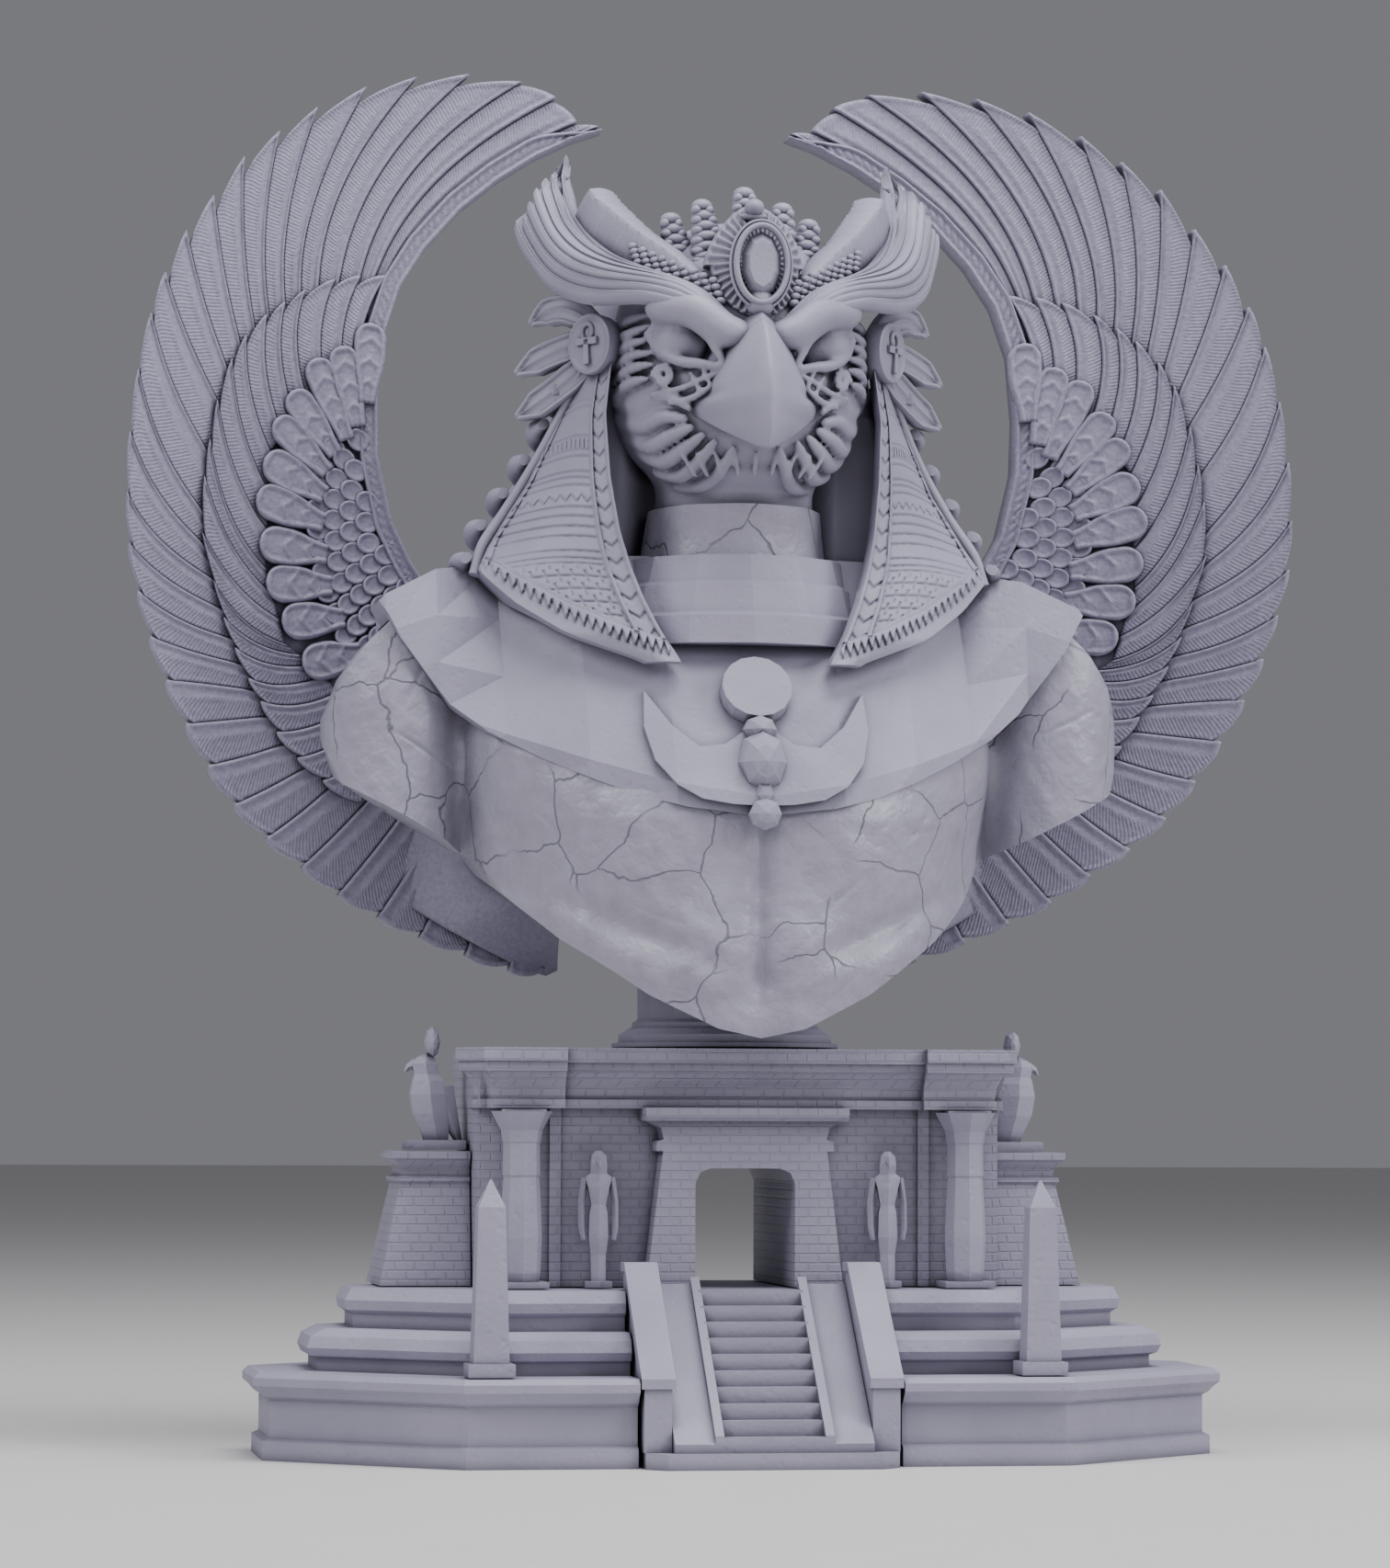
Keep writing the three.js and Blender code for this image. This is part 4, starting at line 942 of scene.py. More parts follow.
def scratch(x, z, a, b, wide=0.5):
    """Groove of depth 1 between two points of the front."""
    a, b = np.asarray(a, float), np.asarray(b, float)
    d = b - a
    h = np.clip(((x - a[0]) * d[0] + (z - a[1]) * d[1]) / (d @ d), 0, 1)
    gap = np.hypot(x - a[0] - d[0] * h, z - a[1] - d[1] * h)
    return np.exp(-(gap / wide) ** 2) * np.sin(np.clip(h, 0.04, 0.96) * np.pi) ** 0.4


SCRATCHES = [
    ((33, 145), (42, 141)), ((35.5, 140.5), (41, 147)), ((34, 142), (44, 144)), ((12, 122), (24, 133)),
    ((-50, 148), (-43, 142)), ((-47, 152), (-44, 140)), ((-80, 166), (-66, 158)), ((4, 112), (14, 121)),
    ((-20, 108), (-8, 116)), ((22, 110), (12, 101)), ((-30, 126), (-18, 121)), ((50, 150), (58, 144)),
    ((74, 168), (86, 174)), ((-72, 184), (-78, 172)), ((6, 130), (2, 118)), ((30, 118), (38, 123)),
]


class BUST_OT_torso(bpy.types.Operator):
    """Chest, upper arms and neck, cut to a V below the chest, with scratches"""
    bl_idname = "bust.torso"
    bl_label = "Torso"

    def execute(self, context):
        cast = Casting()
        share = np.sin(np.linspace(-1, 1, 261) * np.pi / 2)
        share = 0.5 * share + 0.5 * np.linspace(-1, 1, 261)
        across = np.abs(share) * TORSO_HALF
        x = share * TORSO_HALF
        front_t = np.linspace(0, 1, 150)
        back_t = np.linspace(1, 0, 40)
        inner = 1 - np.clip(across / 62, 0, 1)
        low = read(CUT_EDGE, across)
        high = read(SHOULDER_LINE, across)
        fz = lerp(low[:, None], high[:, None], front_t[None])
        bz = lerp((low + 28 * inner + 3)[:, None], high[:, None], back_t[None])
        xx = np.repeat(x[:, None], 150, 1)
        crest = 15 * front_t[None] ** 5 * (1 - smooth(70, 95, across))[:, None]
        fy = chest_y(xx, fz) + crest * 0.5 - muscle(xx, fz)
        for a, b in SCRATCHES:
            fy = fy + 0.55 * scratch(xx, fz, a, b, 0.45)
        fy = fy - 0.35 * grain(xx, fy, fz, 7) - 0.12 * grain(xx, fy, fz, 2.6, 3)
        bx = np.repeat(x[:, None], 40, 1)
        crest_back = 15 * back_t[None] ** 5 * (1 - smooth(70, 95, across))[:, None]
        by = torso_back_y(bx, bz) - crest_back
        spine = 2.5 * np.exp(-(bx / 6) ** 2) * smooth(200, 180, bz)
        blades = 2.0 * mound(np.abs(bx), bz, 30, 172, 18, 22)
        by = by - spine + 0 * blades
        fy = np.minimum(fy, by[:, :1] * 0 + 60)
        ring = np.concatenate([np.stack([xx, fy, fz], -1), np.stack([bx, by, bz], -1)], 1)
        cast.rings(ring)
        neck = np.array([[196, 25, -18, 30], [205, 23, -17.5, 28], [212, 22, -17, 27], [219, 21, -18, 24]])
        angle = np.linspace(0, 2 * np.pi, 72, endpoint=False)
        rows = curve(neck, 24)
        radius = 1 + 0.035 * np.cos(angle * 2)[None] + 0.012 * np.cos(angle * 9)[None]
        grid = np.stack([
            rows[:, 1:2] * np.sin(angle) * radius,
            (rows[:, 2:3] + rows[:, 3:4]) / 2 - (rows[:, 3:4] - rows[:, 2:3]) / 2 * np.cos(angle) * radius,
            np.repeat(rows[:, :1], 72, 1)], -1)
        cast.rings(grid)
        cast.piece("torso_cast", FINISH["satin"], "resin_satin", ["torso"], sharp=55)
        return {"FINISHED"}


# Head

# Brow feathers as edge lines [x, y, z] from between the eyes to the horn tip.
BROW_UPPER = [
    [2.6, -31, 257], [6.4, -30.5, 261], [13.1, -27, 267.5], [24.5, -17.5, 273.2], [31.4, -7, 279],
    [36.2, 4, 288], [37.6, 10, 296], [38, 13, 301], [37.6, 14, 305.5],
]
BROW_LOWER = [
    [2.2, -32.4, 253], [7.6, -34, 255.4], [12.1, -33.4, 258], [18, -31, 262], [25.8, -26, 264.6],
    [37.1, -16, 265.6], [44.3, -5.4, 270], [48.6, 4, 277.5], [51.2, 10.5, 285], [50.6, 14, 291.8],
]
# Share of the brow's length that each strand reaches, from the inner strand to the outer.
STRAND_REACH = [1.0, 0.955, 0.95, 0.935, 0.915, 0.9, 0.93]
CHEEK_BANDS = [
    [[29.4, -5, 260.6], [26.4, -12.6, 262], [22, -18.4, 262.6]],
    [[29.8, -5, 257.6], [26.8, -13.2, 258.6], [23.2, -18.9, 259.6]],
    [[30, -4.4, 254.4], [27, -13.4, 255.9], [23.6, -19.2, 256.4]],
    [[30, -4, 251.4], [26.7, -14.4, 253.1], [22.9, -20.4, 253.2]],
    [[29.8, -4, 248.4], [26.6, -15, 250.2], [23, -20.8, 250.4]],
    [[29.2, -5.4, 245.5], [26.8, -13.8, 247], [24, -19, 247.4]],
]
JAW_FOLDS = [
    [[28.4, -3.6, 244.4, 1.9], [24.4, -12, 241.8, 1.7], [20.6, -20, 243.2, 1.5], [17.2, -25, 241.4, 1.2],
     [15.6, -27, 239.6, 0.9]],
    [[27.2, -2, 240, 2.0], [23.8, -13, 236.8, 1.9], [20.2, -20.6, 238.2, 1.7], [16.4, -25.4, 237.4, 1.1]],
    [[25.4, -3, 236, 1.9], [22.2, -13.8, 232.4, 1.9], [18.8, -21, 233.8, 1.7], [15, -25.8, 235.2, 1.0]],
    [[23, -7, 231.6, 1.8], [19.4, -15, 228.8, 1.8], [16, -22, 230.6, 1.6], [12.4, -26.8, 233.4, 0.9]],
    [[19.4, -9, 227.2, 1.7], [15.4, -16, 225.6, 1.7], [12.4, -23, 228, 1.5], [9.6, -27.6, 232, 0.8]],
    [[15, -10, 224, 1.6], [10.4, -17.4, 223.4, 1.6], [7.4, -24, 226, 1.4], [5.4, -28, 230.4, 0.7]],
]
UPPER_LID = [[24, -19.4, 257.4, 0.9], [21, -23.6, 260.2, 1.2], [16.4, -28, 260.2, 1.4],
             [12, -30.6, 256.6, 1.4], [9.8, -31.6, 252.2, 1.1], [8, -32, 248.4, 0.7]]
LOWER_LID = [[24, -19.4, 257.4, 0.9], [21.6, -23.4, 253, 1.1], [17.8, -27, 250.4, 1.2],
             [13.4, -30, 249.4, 1.1], [8, -32, 248.4, 0.7]]
BEAK_ROWS = np.array([
    [262.4, 2.6, -31.5, -24], [260.6, 4.4, -35, -24], [258, 6.6, -38.4, -25], [254.5, 8.6, -41.6, -25.5],
    [250.5, 10.8, -44.2, -25.5], [246.5, 12.8, -46, -25], [243, 14.6, -46.8, -24], [240.4, 16.2, -47, -22.6],
    [238.4, 15.0, -46.9, -24], [236.6, 12.2, -46.8, -27.5], [234, 9, -46.4, -32.5], [231.2, 5, -45.6, -37.5],
    [229.4, 2.2, -44.6, -41], [228.7, 0.7, -43.8, -42.4],
])


def face_clay():
    """Falcon skull, jaw, eyes and the folds of its cheeks, pressed together as one form."""
    clay = Clay((-34, -42, 214), (34, 40, 290), 0.62)
    clay.egg((0, 3, 254), (29.6, 33.5, 32))
    clay.egg((0, -3, 240), (27, 25.5, 17.5), 6)
    clay.egg((0, -9, 232), (19.5, 18.5, 10.5), 4)
    clay.egg((0, 6, 270), (24, 24, 17), 6)
    clay.cone((0, 2, 238), (0, 2, 215), 17, 19, 4)
    for side in (1, -1):
        clay.egg((side * 16.6, -27, 255), (8.4, 8, 6.2), 2.0, cut=True)
        clay.egg((side * 16.8, -21.6, 255.2), (6.4, 5.8, 6.2), 0.2)
        clay.egg((side * 16, -29, 244.4), (5, 2.6, 2.4), 1.2, cut=True)
        for lid in (UPPER_LID, LOWER_LID):
            clay.string([[side * x, y, z, r] for x, y, z, r in lid], 0.6)
        for k, band in enumerate(CHEEK_BANDS):
            clay.string([[side * x, y, z, r] for (x, y, z), r in zip(band, (1.35, 1.25, 0.6))], 0.5)
        for fold in JAW_FOLDS:
            clay.string([[side * x, y, z, r] for x, y, z, r in fold], 0.8)
        spiral = []
        for i in range(26):
            turn = i / 25 * 4.2 * math.pi
            reach = 2.9 - 2.4 * i / 25
            spiral.append([side * (21 + reach * math.cos(turn) * 0.8), -23.2 + reach * math.cos(turn) * 0.7,
                           247.4 + reach * math.sin(turn), 0.52])
        clay.string(spiral, 0.2, count=70)
        for line in ([[23, -19.5, 243.6, .7], [17, -26.4, 244.2, .8], [12, -30, 246.4, .8], [7.4, -32, 247.6, .6]],
                     [[19.6, -23.6, 241, .6], [15, -28, 241.8, .8], [11.6, -30.6, 243.8, .7]],
                     [[15.6, -28.6, 247.6, .5], [13.4, -29.6, 243, .5]],
                     [[13, -30, 248, .5], [11, -31, 244, .5]]):
            clay.string([[side * x, y, z, r] for x, y, z, r in line], 0.3)
        clay.string([[side * x, y, z, r] for x, y, z, r in (
            [22, -24, 263, 3.4], [15, -29, 262, 3.6], [8, -31.6, 257, 3.4], [3, -31.6, 256, 2.6])], 1.5)
    clay.egg((0, -31.6, 263.6), (3.4, 3.4, 3.6), 1.2)
    for k in range(9):
        angle = (k - 4) * 0.24
        clay.string([[20 * math.sin(angle), -28 + 8 * (1 - math.cos(angle)) + 0.4 * abs(k - 4), 229.4, 0.5],
                     [16 * math.sin(angle), -25 + 6 * (1 - math.cos(angle)), 224.4, 0.5]], 0.7)
    return clay


def beak(cast):
    """Hooked upper beak with a keel along its ridge and a toothed lower edge."""
    rows = curve(BEAK_ROWS, 70)
    s = np.linspace(-1, 1, 49)
    keel = np.abs(s) ** 1.42
    front = rows[:, 2:3] + (rows[:, 3:4] - rows[:, 2:3]) * keel[None]
    x = rows[:, 1:2] * s[None]
    groove = np.exp(-((rows[:, :1] - (258.8 - 10.5 * np.abs(s) ** 2.0)) / 0.5) ** 2)
    front = front + 0.8 * groove
    z = np.repeat(rows[:, :1], 49, 1) + 1.2 * np.abs(s[None]) ** 3 * smooth(236, 244, rows[:, :1])
    nostril = np.exp(-(((np.abs(x) - 11.2) / 1.7) ** 2 + ((z - 242.4) / 1.1) ** 2))
    front = front + 1.5 * nostril
    top = np.stack([x, front, z], -1)
    back = np.stack([x * 0.96, np.repeat(rows[:, 3:4] + 1.4, 49, 1), z], -1)
    cast.slab(top, back)


def brow_ribbon(side):
    """Sweep of ridged strands from between the eyes out to the stepped horn."""
    count, strands, per = 90, len(STRAND_REACH), 7
    upper = curve(BROW_UPPER, 200)
    lower = curve(BROW_LOWER, 200)
    s = np.linspace(0, 1, strands * per)
    strand = np.minimum((s * strands).astype(int), strands - 1)
    inside = s * strands - strand
    reach = np.array(STRAND_REACH)[strand] - 0.03 * (2 * inside - 1) ** 2
    t = np.linspace(0, 1, count)[:, None] * reach[None]
    index = t * 199
    low = np.floor(index).astype(int).clip(0, 198)
    share = (index - low)[..., None]
    a = upper[low] * (1 - share) + upper[low + 1] * share
    b = lower[low] * (1 - share) + lower[low + 1] * share
    place = a + (b - a) * s[None, :, None]
    along_run = np.gradient(place, axis=0)
    across_run = np.gradient(place, axis=1)
    out = np.cross(along_run, across_run)
    out /= np.linalg.norm(out, axis=2)[..., None] + 1e-9
    width = np.linalg.norm(b - a, axis=2)
    belly = np.sin(s * np.pi)[None] * np.minimum(width * 0.3, 4.4) * smooth(0, 0.25, t)
    ridge = 0.75 * np.abs(np.sin(s * strands * np.pi))[None] ** 0.7 * smooth(0.05, 0.4, t)
    fine = 0.16 * np.sin(s * strands * 3 * 2 * np.pi)[None] * smooth(0.2, 0.5, t)
    sign = -1 if out[count // 2, 20, 1] > 0 else 1
    thick = (1.6 + 2.6 * np.sin(s * np.pi)[None] * smooth(1.0, 0.55, t))[..., None]
    top = place + out * sign * (belly + ridge + fine)[..., None]
    under = place - out * sign * thick
    return top * [side, 1, 1], under * [side, 1, 1]


def crown(cast):
    """Five rays of stacked scales, the fan shield round the gem, and the gem's bezel."""
    for x, y, z, count in ((-1.2, -17, 293, 6), (8.6, -13, 290.4, 6), (-10.4, -13, 290.6, 6),
                           (15.6, -8.6, 287.6, 6), (-17, -8.6, 288, 6)):
        for i in range(count):
            drop = i * 2.5
            wide = 2.5 + 0.35 * i
            cast.ball((x * (1 - 0.03 * i), y - 0.5 * i, z - 1.6 - drop), (wide, 2.4 + 0.2 * i, 1.7), 18, 9)
            for side in (-1, 1):
                cast.ball((x * (1 - 0.03 * i) + side * wide * 0.62, y - 0.9 - 0.5 * i, z - 2.8 - drop),
                          (wide * 0.5, 2.0, 1.3), 12, 7)
    angle = np.linspace(0, 2 * np.pi, 289)[:-1]
    share = np.linspace(0.34, 1, 16)
    wide = np.where(np.cos(angle) > 0, 11.6, 10.2)
    high = np.where(np.cos(angle) > 0, 15.2, 12.6)
    shape = 1 - 0.1 * np.abs(np.sin(2 * angle)) * (np.cos(angle) > 0)
    x = wide * np.sin(angle) * shape * share[:, None]
    z = 273 + high * np.cos(angle) * shape * share[:, None]
    flute = 0.55 * np.cos(angle * 36) * smooth(0.36, 0.5, share)[:, None] * smooth(1.02, 0.93, share)[:, None]
    edge = 0.5 * np.exp(-((share - 0.96) / 0.035) ** 2)[:, None]
    y = -31.6 + 0.062 * (x ** 2) + 0.021 * np.clip(z - 273, 0, None) ** 2 * 2.0 - flute - edge
    back = np.stack([x[-1:] * 0.98, y[-1:] + 5, z[-1:]], -1)
    cast.rings(np.concatenate([np.stack([x[:1], y[:1] + 4, z[:1]], -1), np.stack([x, y, z], -1), back], 0))
    ring = np.linspace(0, 2 * np.pi, 73)[:-1]
    tube = np.linspace(0, 2 * np.pi, 13)[:-1]
    for wide, high, thick, lift in ((5.9, 8.9, 0.75, -34.2), (7.0, 10.1, 0.45, -33.2)):
        bx = (wide + thick * np.cos(tube))[:, None] * np.sin(ring)
        bz = 272.2 + (high + thick * np.cos(tube))[:, None] * np.cos(ring)
        by = np.repeat((lift + 1.6 * thick * np.sin(tube))[:, None], 72, 1)
        torus(cast, np.stack([bx, by, bz], -1))
    cast.ball((-0.6, -27.6, 286.4), (2.3, 2.2, 2.0), 16, 9)
    for i in range(4):
        cast.ball((-0.6, -26.8 + i * 0.4, 284.4 - i * 0), (3.2 - i * 0.3, 1.6, 1.1 + 0.2 * i), 14, 7)


def torus(cast, grid):
    """Ring of rings, closed both ways."""
    n, m, _ = grid.shape
    i, k = np.meshgrid(np.arange(n), np.arange(m), indexing="ij")
    i2, k2 = (i + 1) % n, (k + 1) % m
    quads = np.stack([i * m + k, i * m + k2, i2 * m + k2, i2 * m + k], -1).reshape(-1, 4)
    cast.shell(grid.reshape(-1, 3), quads, np.zeros((0, 3), int))


def tuft(cast, side):
    """Hollow crest tuft with hatched flanks, open at its upper end, and the scaled band below it."""
    n, m = 60, 40
    line = curve([[10, -24.5, 266], [17, -17, 272.5], [25, -8.5, 279.5], [31, -1, 286.5], [33.4, 3.4, 291]], n)
    size = np.interp(np.linspace(0, 1, n), [0, 0.35, 0.8, 1], [3.4, 5.4, 6.4, 6.2])
    run = np.gradient(line, axis=0)
    run /= np.linalg.norm(run, axis=1)[:, None]
    right = np.cross(run, [0, 0, 1.0])
    right /= np.linalg.norm(right, axis=1)[:, None]
    top = np.cross(right, run)
    angle = np.linspace(0, 2 * np.pi, m, endpoint=False)
    square = 1 / np.maximum(np.abs(np.cos(angle)), np.abs(np.sin(angle))) ** 0.6
    hatch = 1 + 0.035 * np.sin(np.linspace(0, 1, n) * 2 * np.pi * 24)[:, None]
    radius = size[:, None] * square[None] * hatch * 0.82
    outer = (line[:, None] + right[:, None] * (radius * np.cos(angle) * 0.8)[..., None]
             + top[:, None] * (radius * np.sin(angle) * 1.05)[..., None])
    rim_ring = line[-1] + (outer[-1:] - line[-1]) * 0.72
    well = line[-16] + (outer[-16:-15] - line[-16]) * 0.6
    cast.rings(np.concatenate([outer, rim_ring, well], 0) * [side, 1, 1])
    for row in range(4):
        for k in range(9):
            t = k / 8
            base = np.array([8.6, -28.6, 264.2]) * (1 - t) + np.array([25.5, -14.5, 275]) * t
            base = base + np.array([0.4, 0.8, 1.7]) * row * (1 - 0.2 * t)
            cast.ball(base * [side, 1, 1], (1.35, 1.3, 1.0), 10, 6)


class BUST_OT_head(bpy.types.Operator):
    """Falcon face with hooked beak, ridged brow horns, tufts, crown rays and fan shield"""
    bl_idname = "bust.head"
    bl_label = "Head"

    def execute(self, context):
        cast = Casting()
        points, quads, tris = face_clay().surface(0.02)
        cast.add_mesh(points, quads, tris)
        beak(cast)
        for side in (1, -1):
            cast.slab(*brow_ribbon(side))
            tuft(cast, side)
        crown(cast)
        cast.piece("head_cast", FINISH["ornament"], "resin_ornament", ["head"], sharp=60)
        return {"FINISHED"}


# Headdress

LAPPET_ROWS = np.array([
    [252, 31, -10, 37, 3], [240, 32.4, -11, 42, 6], [225, 31.5, -13, 49, 8], [212, 29.6, -16, 57, 7],
    [204, 27.6, -18.6, 60.5, 0], [196, 25, -22, 53, -8], [188, 21.4, -25.4, 42, -18],
    [181, 17.2, -28.4, 24, -26.8],
])


def stepped(value, low, high, soft=0.12):
    """1 between low and high, falling to 0 over a soft edge."""
    return smooth(low - soft, low + soft, value) * smooth(high + soft, high - soft, value)


def lappet(cast, side):
    """Front panel of the headdress: chevron border, banded field, bricks and toothed hem."""
    n, m = 300, 96
    rows = LAPPET_ROWS[::-1]
    z = np.linspace(181, 252, n)
    inner_x, inner_y, outer_x, outer_y = (np.interp(z, rows[:, 0], rows[:, i]) for i in (1, 2, 3, 4))
    kernel = np.hanning(23) / np.hanning(23).sum()
    inner_x, inner_y, outer_x, outer_y = (
        np.convolve(np.pad(v, 11, mode="edge"), kernel, "valid") for v in (inner_x, inner_y, outer_x, outer_y))
    s = np.linspace(0, 1, m)
    x = inner_x[:, None] + (outer_x - inner_x)[:, None] * s[None]
    y = inner_y[:, None] + (outer_y - inner_y)[:, None] * s[None] - 1.6 * np.sin(s * np.pi)[None]
    width = np.hypot(outer_x - inner_x, outer_y - inner_y)[:, None]
    zz = np.repeat(z[:, None], m, 1)
    from_inner = s[None] * width
    from_outer = (1 - s)[None] * width
    border = stepped(from_inner, -1, 6.2)
    rims = rim(from_inner, 1.3) + rim(np.clip(from_inner - 5.4, 0, 1.3), 1.3)
    middle = from_inner - 3.3
    chevron = np.exp(-((((zz - np.abs(middle) * 0.75) % 4.3) - 2.1) / 0.42) ** 2) * (np.abs(middle) < 2.0)
    hem = np.interp(x, [17, 24, 32, 42, 53, 60.5, 62], [181.5, 183, 186, 191, 198.5, 205.4, 207]) + 4.6
    above = zz - hem
    field = smooth(6.2, 7.2, from_inner) * smooth(0.4, 1.0, above) * smooth(0.4, 1.2, from_outer)
    sag = zz - 1.9 * np.sin(np.clip(s, 0, 1) * np.pi)[None]
    lines = np.zeros_like(zz)
    for at in (204.4, 206.2, 209.8, 212.2, 214.6, 216.8, 222, 223.8, 225.2, 228.8, 230.4, 233.6, 240.6, 242.2):
        lines = np.maximum(lines, np.exp(-((sag - at) / 0.32) ** 2))
    zigzag = np.exp(-(((sag - 218.9) - 0.8 * np.abs(((from_inner / 1.6) % 2) - 1) * 2 + 0.8) / 0.35) ** 2)
    zigzag = zigzag * stepped(sag, 217.4, 220.8)
    ticks = np.exp(-((((from_inner) % 1.5) - 0.75) / 0.25) ** 2) * stepped(sag, 230.8, 233.2)
    course = (sag % 3.2)
    shift = np.floor(sag / 3.2) % 2 * 1.7
    bricks = np.maximum(np.exp(-((course - 1.6) / 0.3) ** 2),
                        np.exp(-((((from_inner + shift) % 3.4) - 1.7) / 0.3) ** 2))
    bricks = bricks * smooth(203.8, 203.0, sag)
    teeth_band = stepped(above, -4.2, -0.4) * (from_inner > 0.6)
    arc = x * 1.25
    tooth = np.clip(1.15 - np.abs((arc % 2.3) - 1.15) - np.clip((above + 3.9) / 3.2, 0, 1) * 1.15, -0.2, 0.25)
    high = 0.15 + 0.75 * rims * (above > -0.6) + 0.45 * border * 0.3
    high = high - 0.55 * chevron * border * (above > 0)
    high = high - 0.5 * (lines + zigzag + ticks) * field - 0.45 * bricks * field
    high = high + 0.9 * teeth_band - 1.6 * np.clip(tooth, 0, 0.25) * teeth_band * 2
    high = high + 0.9 * rim(from_outer, 2.2) * (above > -1)
    high = high + 0.08 * grain(x, y, zz, 2.2)
    top = np.stack([x * side, y - high, zz], -1)
    deep = 5.4 + 16 * s[None] * smooth(190, 206, zz)
    under = np.stack([x * side, y + deep, zz], -1)
    cast.patch(top, under)


def hood(cast):
    """Drape behind the lappets with scalloped side folds and a plain ribbed back."""
    rows = np.array([
        [200, 59.6, 8, 60], [207, 59.4, 6, 60], [217, 53.6, 3, 57.6], [237, 43.6, 2, 50.6],
        [258, 35, 0, 45.6], [270, 31, 2, 42.6], [279, 24, 6, 37.6], [284.6, 12, 10, 30],
    ])
    z = np.linspace(200, 284.6, 170)
    half, front, back = (np.interp(z, rows[:, 0], rows[:, i]) for i in (1, 2, 3))
    kernel = np.hanning(25) / np.hanning(25).sum()
    half, front, back = (np.convolve(np.pad(v, 12, mode="edge"), kernel, "valid") for v in (half, front, back))
    angle = np.linspace(0, 2 * np.pi, 200, endpoint=False)
    side_face = np.clip(np.abs(np.sin(angle)), 0, 1)[None] ** 6
    fold = 1.0 * np.abs(np.sin((z[:, None] - 200) * np.pi / 7.4)) ** 0.8 - 0.4
    strength = smooth(200, 207, z)[:, None] * smooth(262, 244, z)[:, None]
    rib = 0.45 * np.sin((z[:, None] + 2.2 * np.cos(angle)[None]) * 2 * np.pi / 4.2)
    behind = smooth(0.15, 0.6, -np.cos(angle + 0))[None] * 0 + smooth(-0.1, -0.5, np.cos(angle))[None]
    offset = fold * strength * side_face * 1.9 + rib * behind * 0.7 * smooth(284, 276, z)[:, None]
    x = (half[:, None] + offset) * np.sin(angle)[None]
    y = ((front + back) / 2)[:, None] - ((back - front)[:, None] / 2 + offset) * np.cos(angle)[None]
    notch = smooth(26, 14, np.abs(x)) * smooth(0.2, 0.6, np.cos(angle))[None] * smooth(262, 250, z)[:, None]
    y = y + notch * 16
    cast.rings(np.stack([x, y, np.repeat(z[:, None], 200, 1)], -1))


def side_cord(cast, side):
    """Raised cord along the outer edge of the lappet, up to the ear."""
    cast.rod([[side * 60.8, 5, 203.5, 1.5, 1.5], [side * 58.6, 6.4, 211, 1.4, 1.4], [side * 53.4, 7.6, 219, 1.3, 1.3],
              [side * 48, 7.2, 228, 1.2, 1.2], [side * 43.6, 5.6, 236, 1.2, 1.2], [side * 39.4, 2.6, 245, 1.2, 1.2],
              [side * 36.6, -1, 252, 1.1, 1.1]], 14, 60)
    for i in range(6):
        t = i / 5
        centre = curve([[61.6, 11, 206], [58.4, 13.5, 213], [53, 14.5, 221], [47.6, 14, 229.6], [43.4, 12, 238],
                        [40.4, 8, 246]], 6)[i]
        cast.rod([[side * (centre[0] + 1.2), centre[1] - 6, centre[2] + 1.6, 1.2, 1.6],
                  [side * (centre[0] + 2.0), centre[1] - 1, centre[2] + 0.6, 2.6, 2.8],
                  [side * (centre[0] + 0.6), centre[1] + 6, centre[2] - 0.6, 2.8, 3.0],
                  [side * (centre[0] - 3), centre[1] + 14, centre[2] - 1.4, 2.2, 2.6]], 16, 22)


class BUST_OT_headdress(bpy.types.Operator):
    """Headdress with two carved lappets, side folds and edge cords"""
    bl_idname = "bust.headdress"
    bl_label = "Headdress"

    def execute(self, context):
        cast = Casting()
        for side in (1, -1):
            lappet(cast, side)
            side_cord(cast, side)
        hood(cast)
        cast.piece("headdress_cast", FINISH["ornament"], "resin_ornament", ["headdress"], sharp=60)
        return {"FINISHED"}


# Ear ornaments

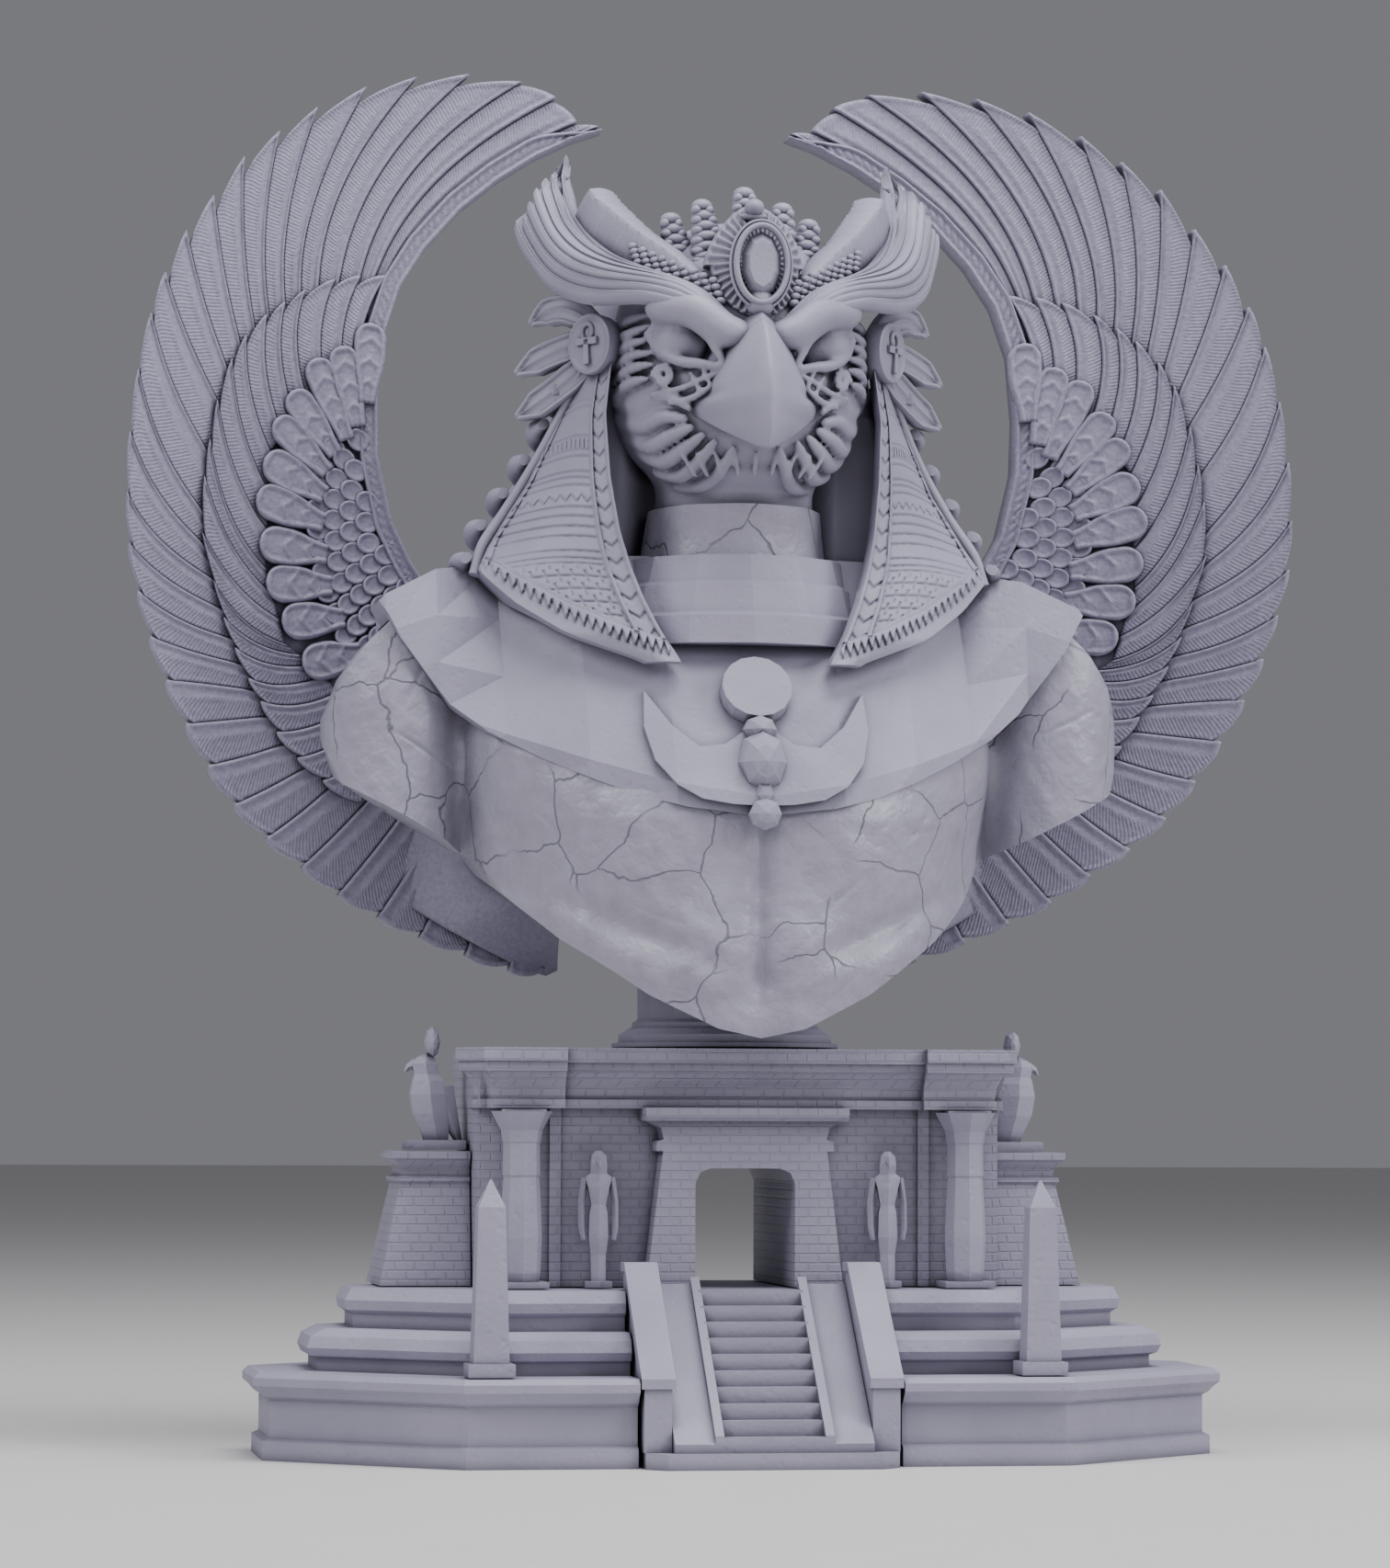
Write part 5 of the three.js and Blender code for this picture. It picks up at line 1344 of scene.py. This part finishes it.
class BUST_OT_ears(bpy.types.Operator):
    """Ear discs with a looped cross, and three curved blades behind each"""
    bl_idname = "bust.ears"
    bl_label = "Ear ornaments"

    def execute(self, context):
        for name, side in (("right", 1), ("left", -1)):
            cast = Casting()
            self.disc(cast, side)
            self.blades(cast, side)
            cast.piece(f"ear_ornament_{name}_cast", FINISH["ornament"], "resin_ornament",
                       [f"ear_ornament_{name}"], sharp=50)
        return {"FINISHED"}

    def disc(self, cast, side):
        centre = np.array([34.4, -6.4, 256.8])
        out = np.array([math.sin(0.87), -math.cos(0.87), 0.0])
        across = np.array([out[1] * -1, out[0], 0.0])
        up = np.array([0, 0, 1.0])

        def place(u, v, h):
            return (centre + across * u[..., None] + up * v[..., None] + out * h[..., None]) * [side, 1, 1]
        angle = np.linspace(0, 2 * np.pi, 64, endpoint=False)
        radius = np.array([6.9, 7.2, 7.0, 6.3, 5.8, 5.0, 3.4, 1.0])
        height = np.array([-2.4, 1.0, 2.2, 2.5, 2.2, 2.3, 2.5, 2.6])
        u = radius[:, None] * np.cos(angle) * 0.92
        v = radius[:, None] * np.sin(angle)
        cast.rings(place(u, v, height[:, None] + 0 * u))
        loop_angle = np.linspace(0, 2 * np.pi, 41)[:-1]
        tube = np.linspace(0, 2 * np.pi, 9)[:-1]
        wide = (1.5 + 0.62 * np.cos(tube))[:, None] * np.sin(loop_angle)
        high = 2.7 + (1.9 + 0.62 * np.cos(tube))[:, None] * np.cos(loop_angle)
        torus(cast, place(wide, high, (2.6 + 0.7 * np.sin(tube))[:, None] + 0 * wide))
        for outline in ([(-0.65, 1.0), (0.65, 1.0), (0.9, -4.8), (-0.9, -4.8)],
                        [(-3.2, 1.3), (3.2, 1.3), (3.2, -0.3), (-3.2, -0.3)]):
            corner = np.array(outline)
            cast.rings(np.stack([place(corner[:, 0], corner[:, 1], np.full(4, 1.8)),
                                 place(corner[:, 0], corner[:, 1], np.full(4, 3.3))]))

    def blades(self, cast, side):
        for i, (tip_x, tip_z) in enumerate(((47.2, 263.6), (50.6, 251.6), (50.4, 241.4))):
            root = np.array([33.6, -3, 261.4 - i * 3.4])
            knee = np.array([(tip_x + 33.6) / 2 + 0.4, 3.2, tip_z + 6.6 - i * 0.8])
            tip = np.array([tip_x, 8.4, tip_z])
            line = bend(root, knee, tip, 34)
            run = np.gradient(line, axis=0)
            run /= np.linalg.norm(run, axis=1)[:, None]
            face = np.array([0.35, -0.9, 0.1])
            across = np.cross(run, face)
            across /= np.linalg.norm(across, axis=1)[:, None]
            t = np.linspace(0, 1, 34)
            half = np.interp(t, [0, 0.3, 0.75, 1], [2.6, 3.6, 3.4, 0.9])
            s = np.linspace(-1, 1, 17)
            ridge = 0.7 * rim((1 - np.abs(s))[None] * half[:, None], 1.2) + 0.55 * np.exp(-(s / 0.14) ** 2)[None]
            place = line[:, None] + across[:, None] * (half[:, None] * s)[..., None]
            out = np.cross(across, run)
            out *= np.where(out[:, 1:2] > 0, -1, 1)
            top = place + out[:, None] * (ridge + 0.6)[..., None]
            under = place - out[:, None] * np.full((34, 17), 1.8)[..., None]
            cast.patch(top * [side, 1, 1], under * [side, 1, 1])


# Stage

CAMERA_AT = (-198.8129, -1123.2125, 78.4356)
CAMERA_YAW, CAMERA_PITCH, CAMERA_ROLL = 0.1672, 0.0672, 0.0042


class BUST_OT_stage(bpy.types.Operator):
    """Floor, studio lights and the camera at the photograph's angle"""
    bl_idname = "bust.stage"
    bl_label = "Stage"

    def execute(self, context):
        scene = context.scene
        material, tree, place = start("matte_floor_paint")
        speck = add(tree, "ShaderNodeTexNoise", {"Vector": place, "Scale": 60.0, "Detail": 3.0})
        tone = settings().floor_colour
        colour = mix_colour(tree, speck.outputs["Fac"], (*[c * 1.03 for c in tone], 1), (*[c * 0.97 for c in tone], 1))
        normal = add(tree, "ShaderNodeBump", {
            "Height": speck.outputs["Fac"], "Strength": 0.05, "Distance": 0.001}).outputs["Normal"]
        close(tree, colour, 0.6, normal)
        mesh = bpy.data.meshes.new("floor")
        mesh.from_pydata([(-6, -6, 0), (6, -6, 0), (6, 6, 0), (-6, 6, 0)], [], [(0, 1, 2, 3)])
        mesh.materials.append(material)
        floor = bpy.data.objects.new("floor", mesh)
        scene.collection.objects.link(floor)
        yaw, pitch, roll = CAMERA_YAW, CAMERA_PITCH, CAMERA_ROLL
        ahead = Vector((math.sin(yaw) * math.cos(pitch), math.cos(yaw) * math.cos(pitch), math.sin(pitch)))
        right = Vector((math.cos(yaw), -math.sin(yaw), 0))
        up = right.cross(ahead)
        side = right * math.cos(roll) + up * math.sin(roll)
        top = up * math.cos(roll) - right * math.sin(roll)
        data = bpy.data.cameras.new("photo_view")
        data.sensor_fit = "VERTICAL"
        data.sensor_height = 36
        data.lens = 5317.5155 * 36 / 1706
        data.clip_start = 0.05
        camera = bpy.data.objects.new("photo_view", data)
        camera.matrix_world = Matrix((
            (side.x, top.x, -ahead.x, CAMERA_AT[0] * MM), (side.y, top.y, -ahead.y, CAMERA_AT[1] * MM),
            (side.z, top.z, -ahead.z, CAMERA_AT[2] * MM), (0, 0, 0, 1)))
        scene.collection.objects.link(camera)
        scene.camera = camera
        for name, at, aim, size, power in (
            ("top_softbox", (0.1, -0.25, 1.1), (0, 0, 0.15), 0.7, 13.0),
            ("right_softbox", (0.95, -0.55, 0.75), (0, 0, 0.17), 0.5, 9.0),
            ("left_softbox", (-0.95, -0.35, 0.85), (0, 0, 0.2), 0.5, 7.0),
            ("front_fill", (-0.3, -1.6, 0.5), (0, 0, 0.15), 1.0, 4.0),
        ):
            lamp = bpy.data.lights.new(name, "AREA")
            lamp.energy = power
            lamp.size = size
            lamp.color = (0.97, 0.97, 1.0)
            light = bpy.data.objects.new(name, lamp)
            light.location = at
            light.rotation_euler = (Vector(aim) - Vector(at)).to_track_quat("-Z", "Y").to_euler()
            scene.collection.objects.link(light)
        world = bpy.data.worlds.new("studio")
        world.use_nodes = True
        world.node_tree.nodes["Background"].inputs["Color"].default_value = (0.55, 0.55, 0.6, 1)
        world.node_tree.nodes["Background"].inputs["Strength"].default_value = 0.35
        scene.world = world
        scene.view_settings.view_transform = "AgX"
        return {"FINISHED"}


class BUST_OT_frame_finish(bpy.types.Operator):
    """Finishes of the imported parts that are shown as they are"""
    bl_idname = "bust.frame_finish"
    bl_label = "Frame finish"

    def execute(self, context):
        by_slot = {"resin_stonework": "stone", "resin_satin": "smooth", "resin_ornament": "ornament",
                   "resin_feather": "feather", "resin_gem": "gem"}
        slots = {node: m["slot"] for m in frame["record"]["materials"] for node in m.get("nodes", [])}
        for name, node in frame["nodes"].items():
            finish = FINISH[by_slot.get(slots.get(name), "stone")]
            if name in ("gateway", "pylon_left", "pylon_right"):
                finish = FINISH["brick"]
            node.data.materials.clear()
            node.data.materials.append(finish)
        return {"FINISHED"}


class BUST_PT_panel(bpy.types.Panel):
    """Lists the steps that dress the bust"""
    bl_idname = "BUST_PT_panel"
    bl_label = "Falcon God Bust"
    bl_space_type = "VIEW_3D"
    bl_region_type = "UI"
    bl_category = "Bust"

    def draw(self, context):
        layout = self.layout
        for name in BustSettings.__annotations__:
            layout.prop(context.scene.bust, name)
        for step in STEPS:
            layout.operator(step.bl_idname)


STEPS = (BUST_OT_stage, BUST_OT_frame_finish, BUST_OT_wings, BUST_OT_torso, BUST_OT_head, BUST_OT_headdress, BUST_OT_ears)
CLASSES = (BustSettings, *STEPS, BUST_PT_panel)


def register():
    for item in CLASSES:
        bpy.utils.register_class(item)
    bpy.types.Scene.bust = bpy.props.PointerProperty(type=BustSettings)


def unregister():
    del bpy.types.Scene.bust
    for item in reversed(CLASSES):
        bpy.utils.unregister_class(item)


def main():
    register()
    finishes()
    for step in STEPS:
        group, name = step.bl_idname.split(".")
        getattr(getattr(bpy.ops, group), name)()


if __name__ == "__main__":
    main()
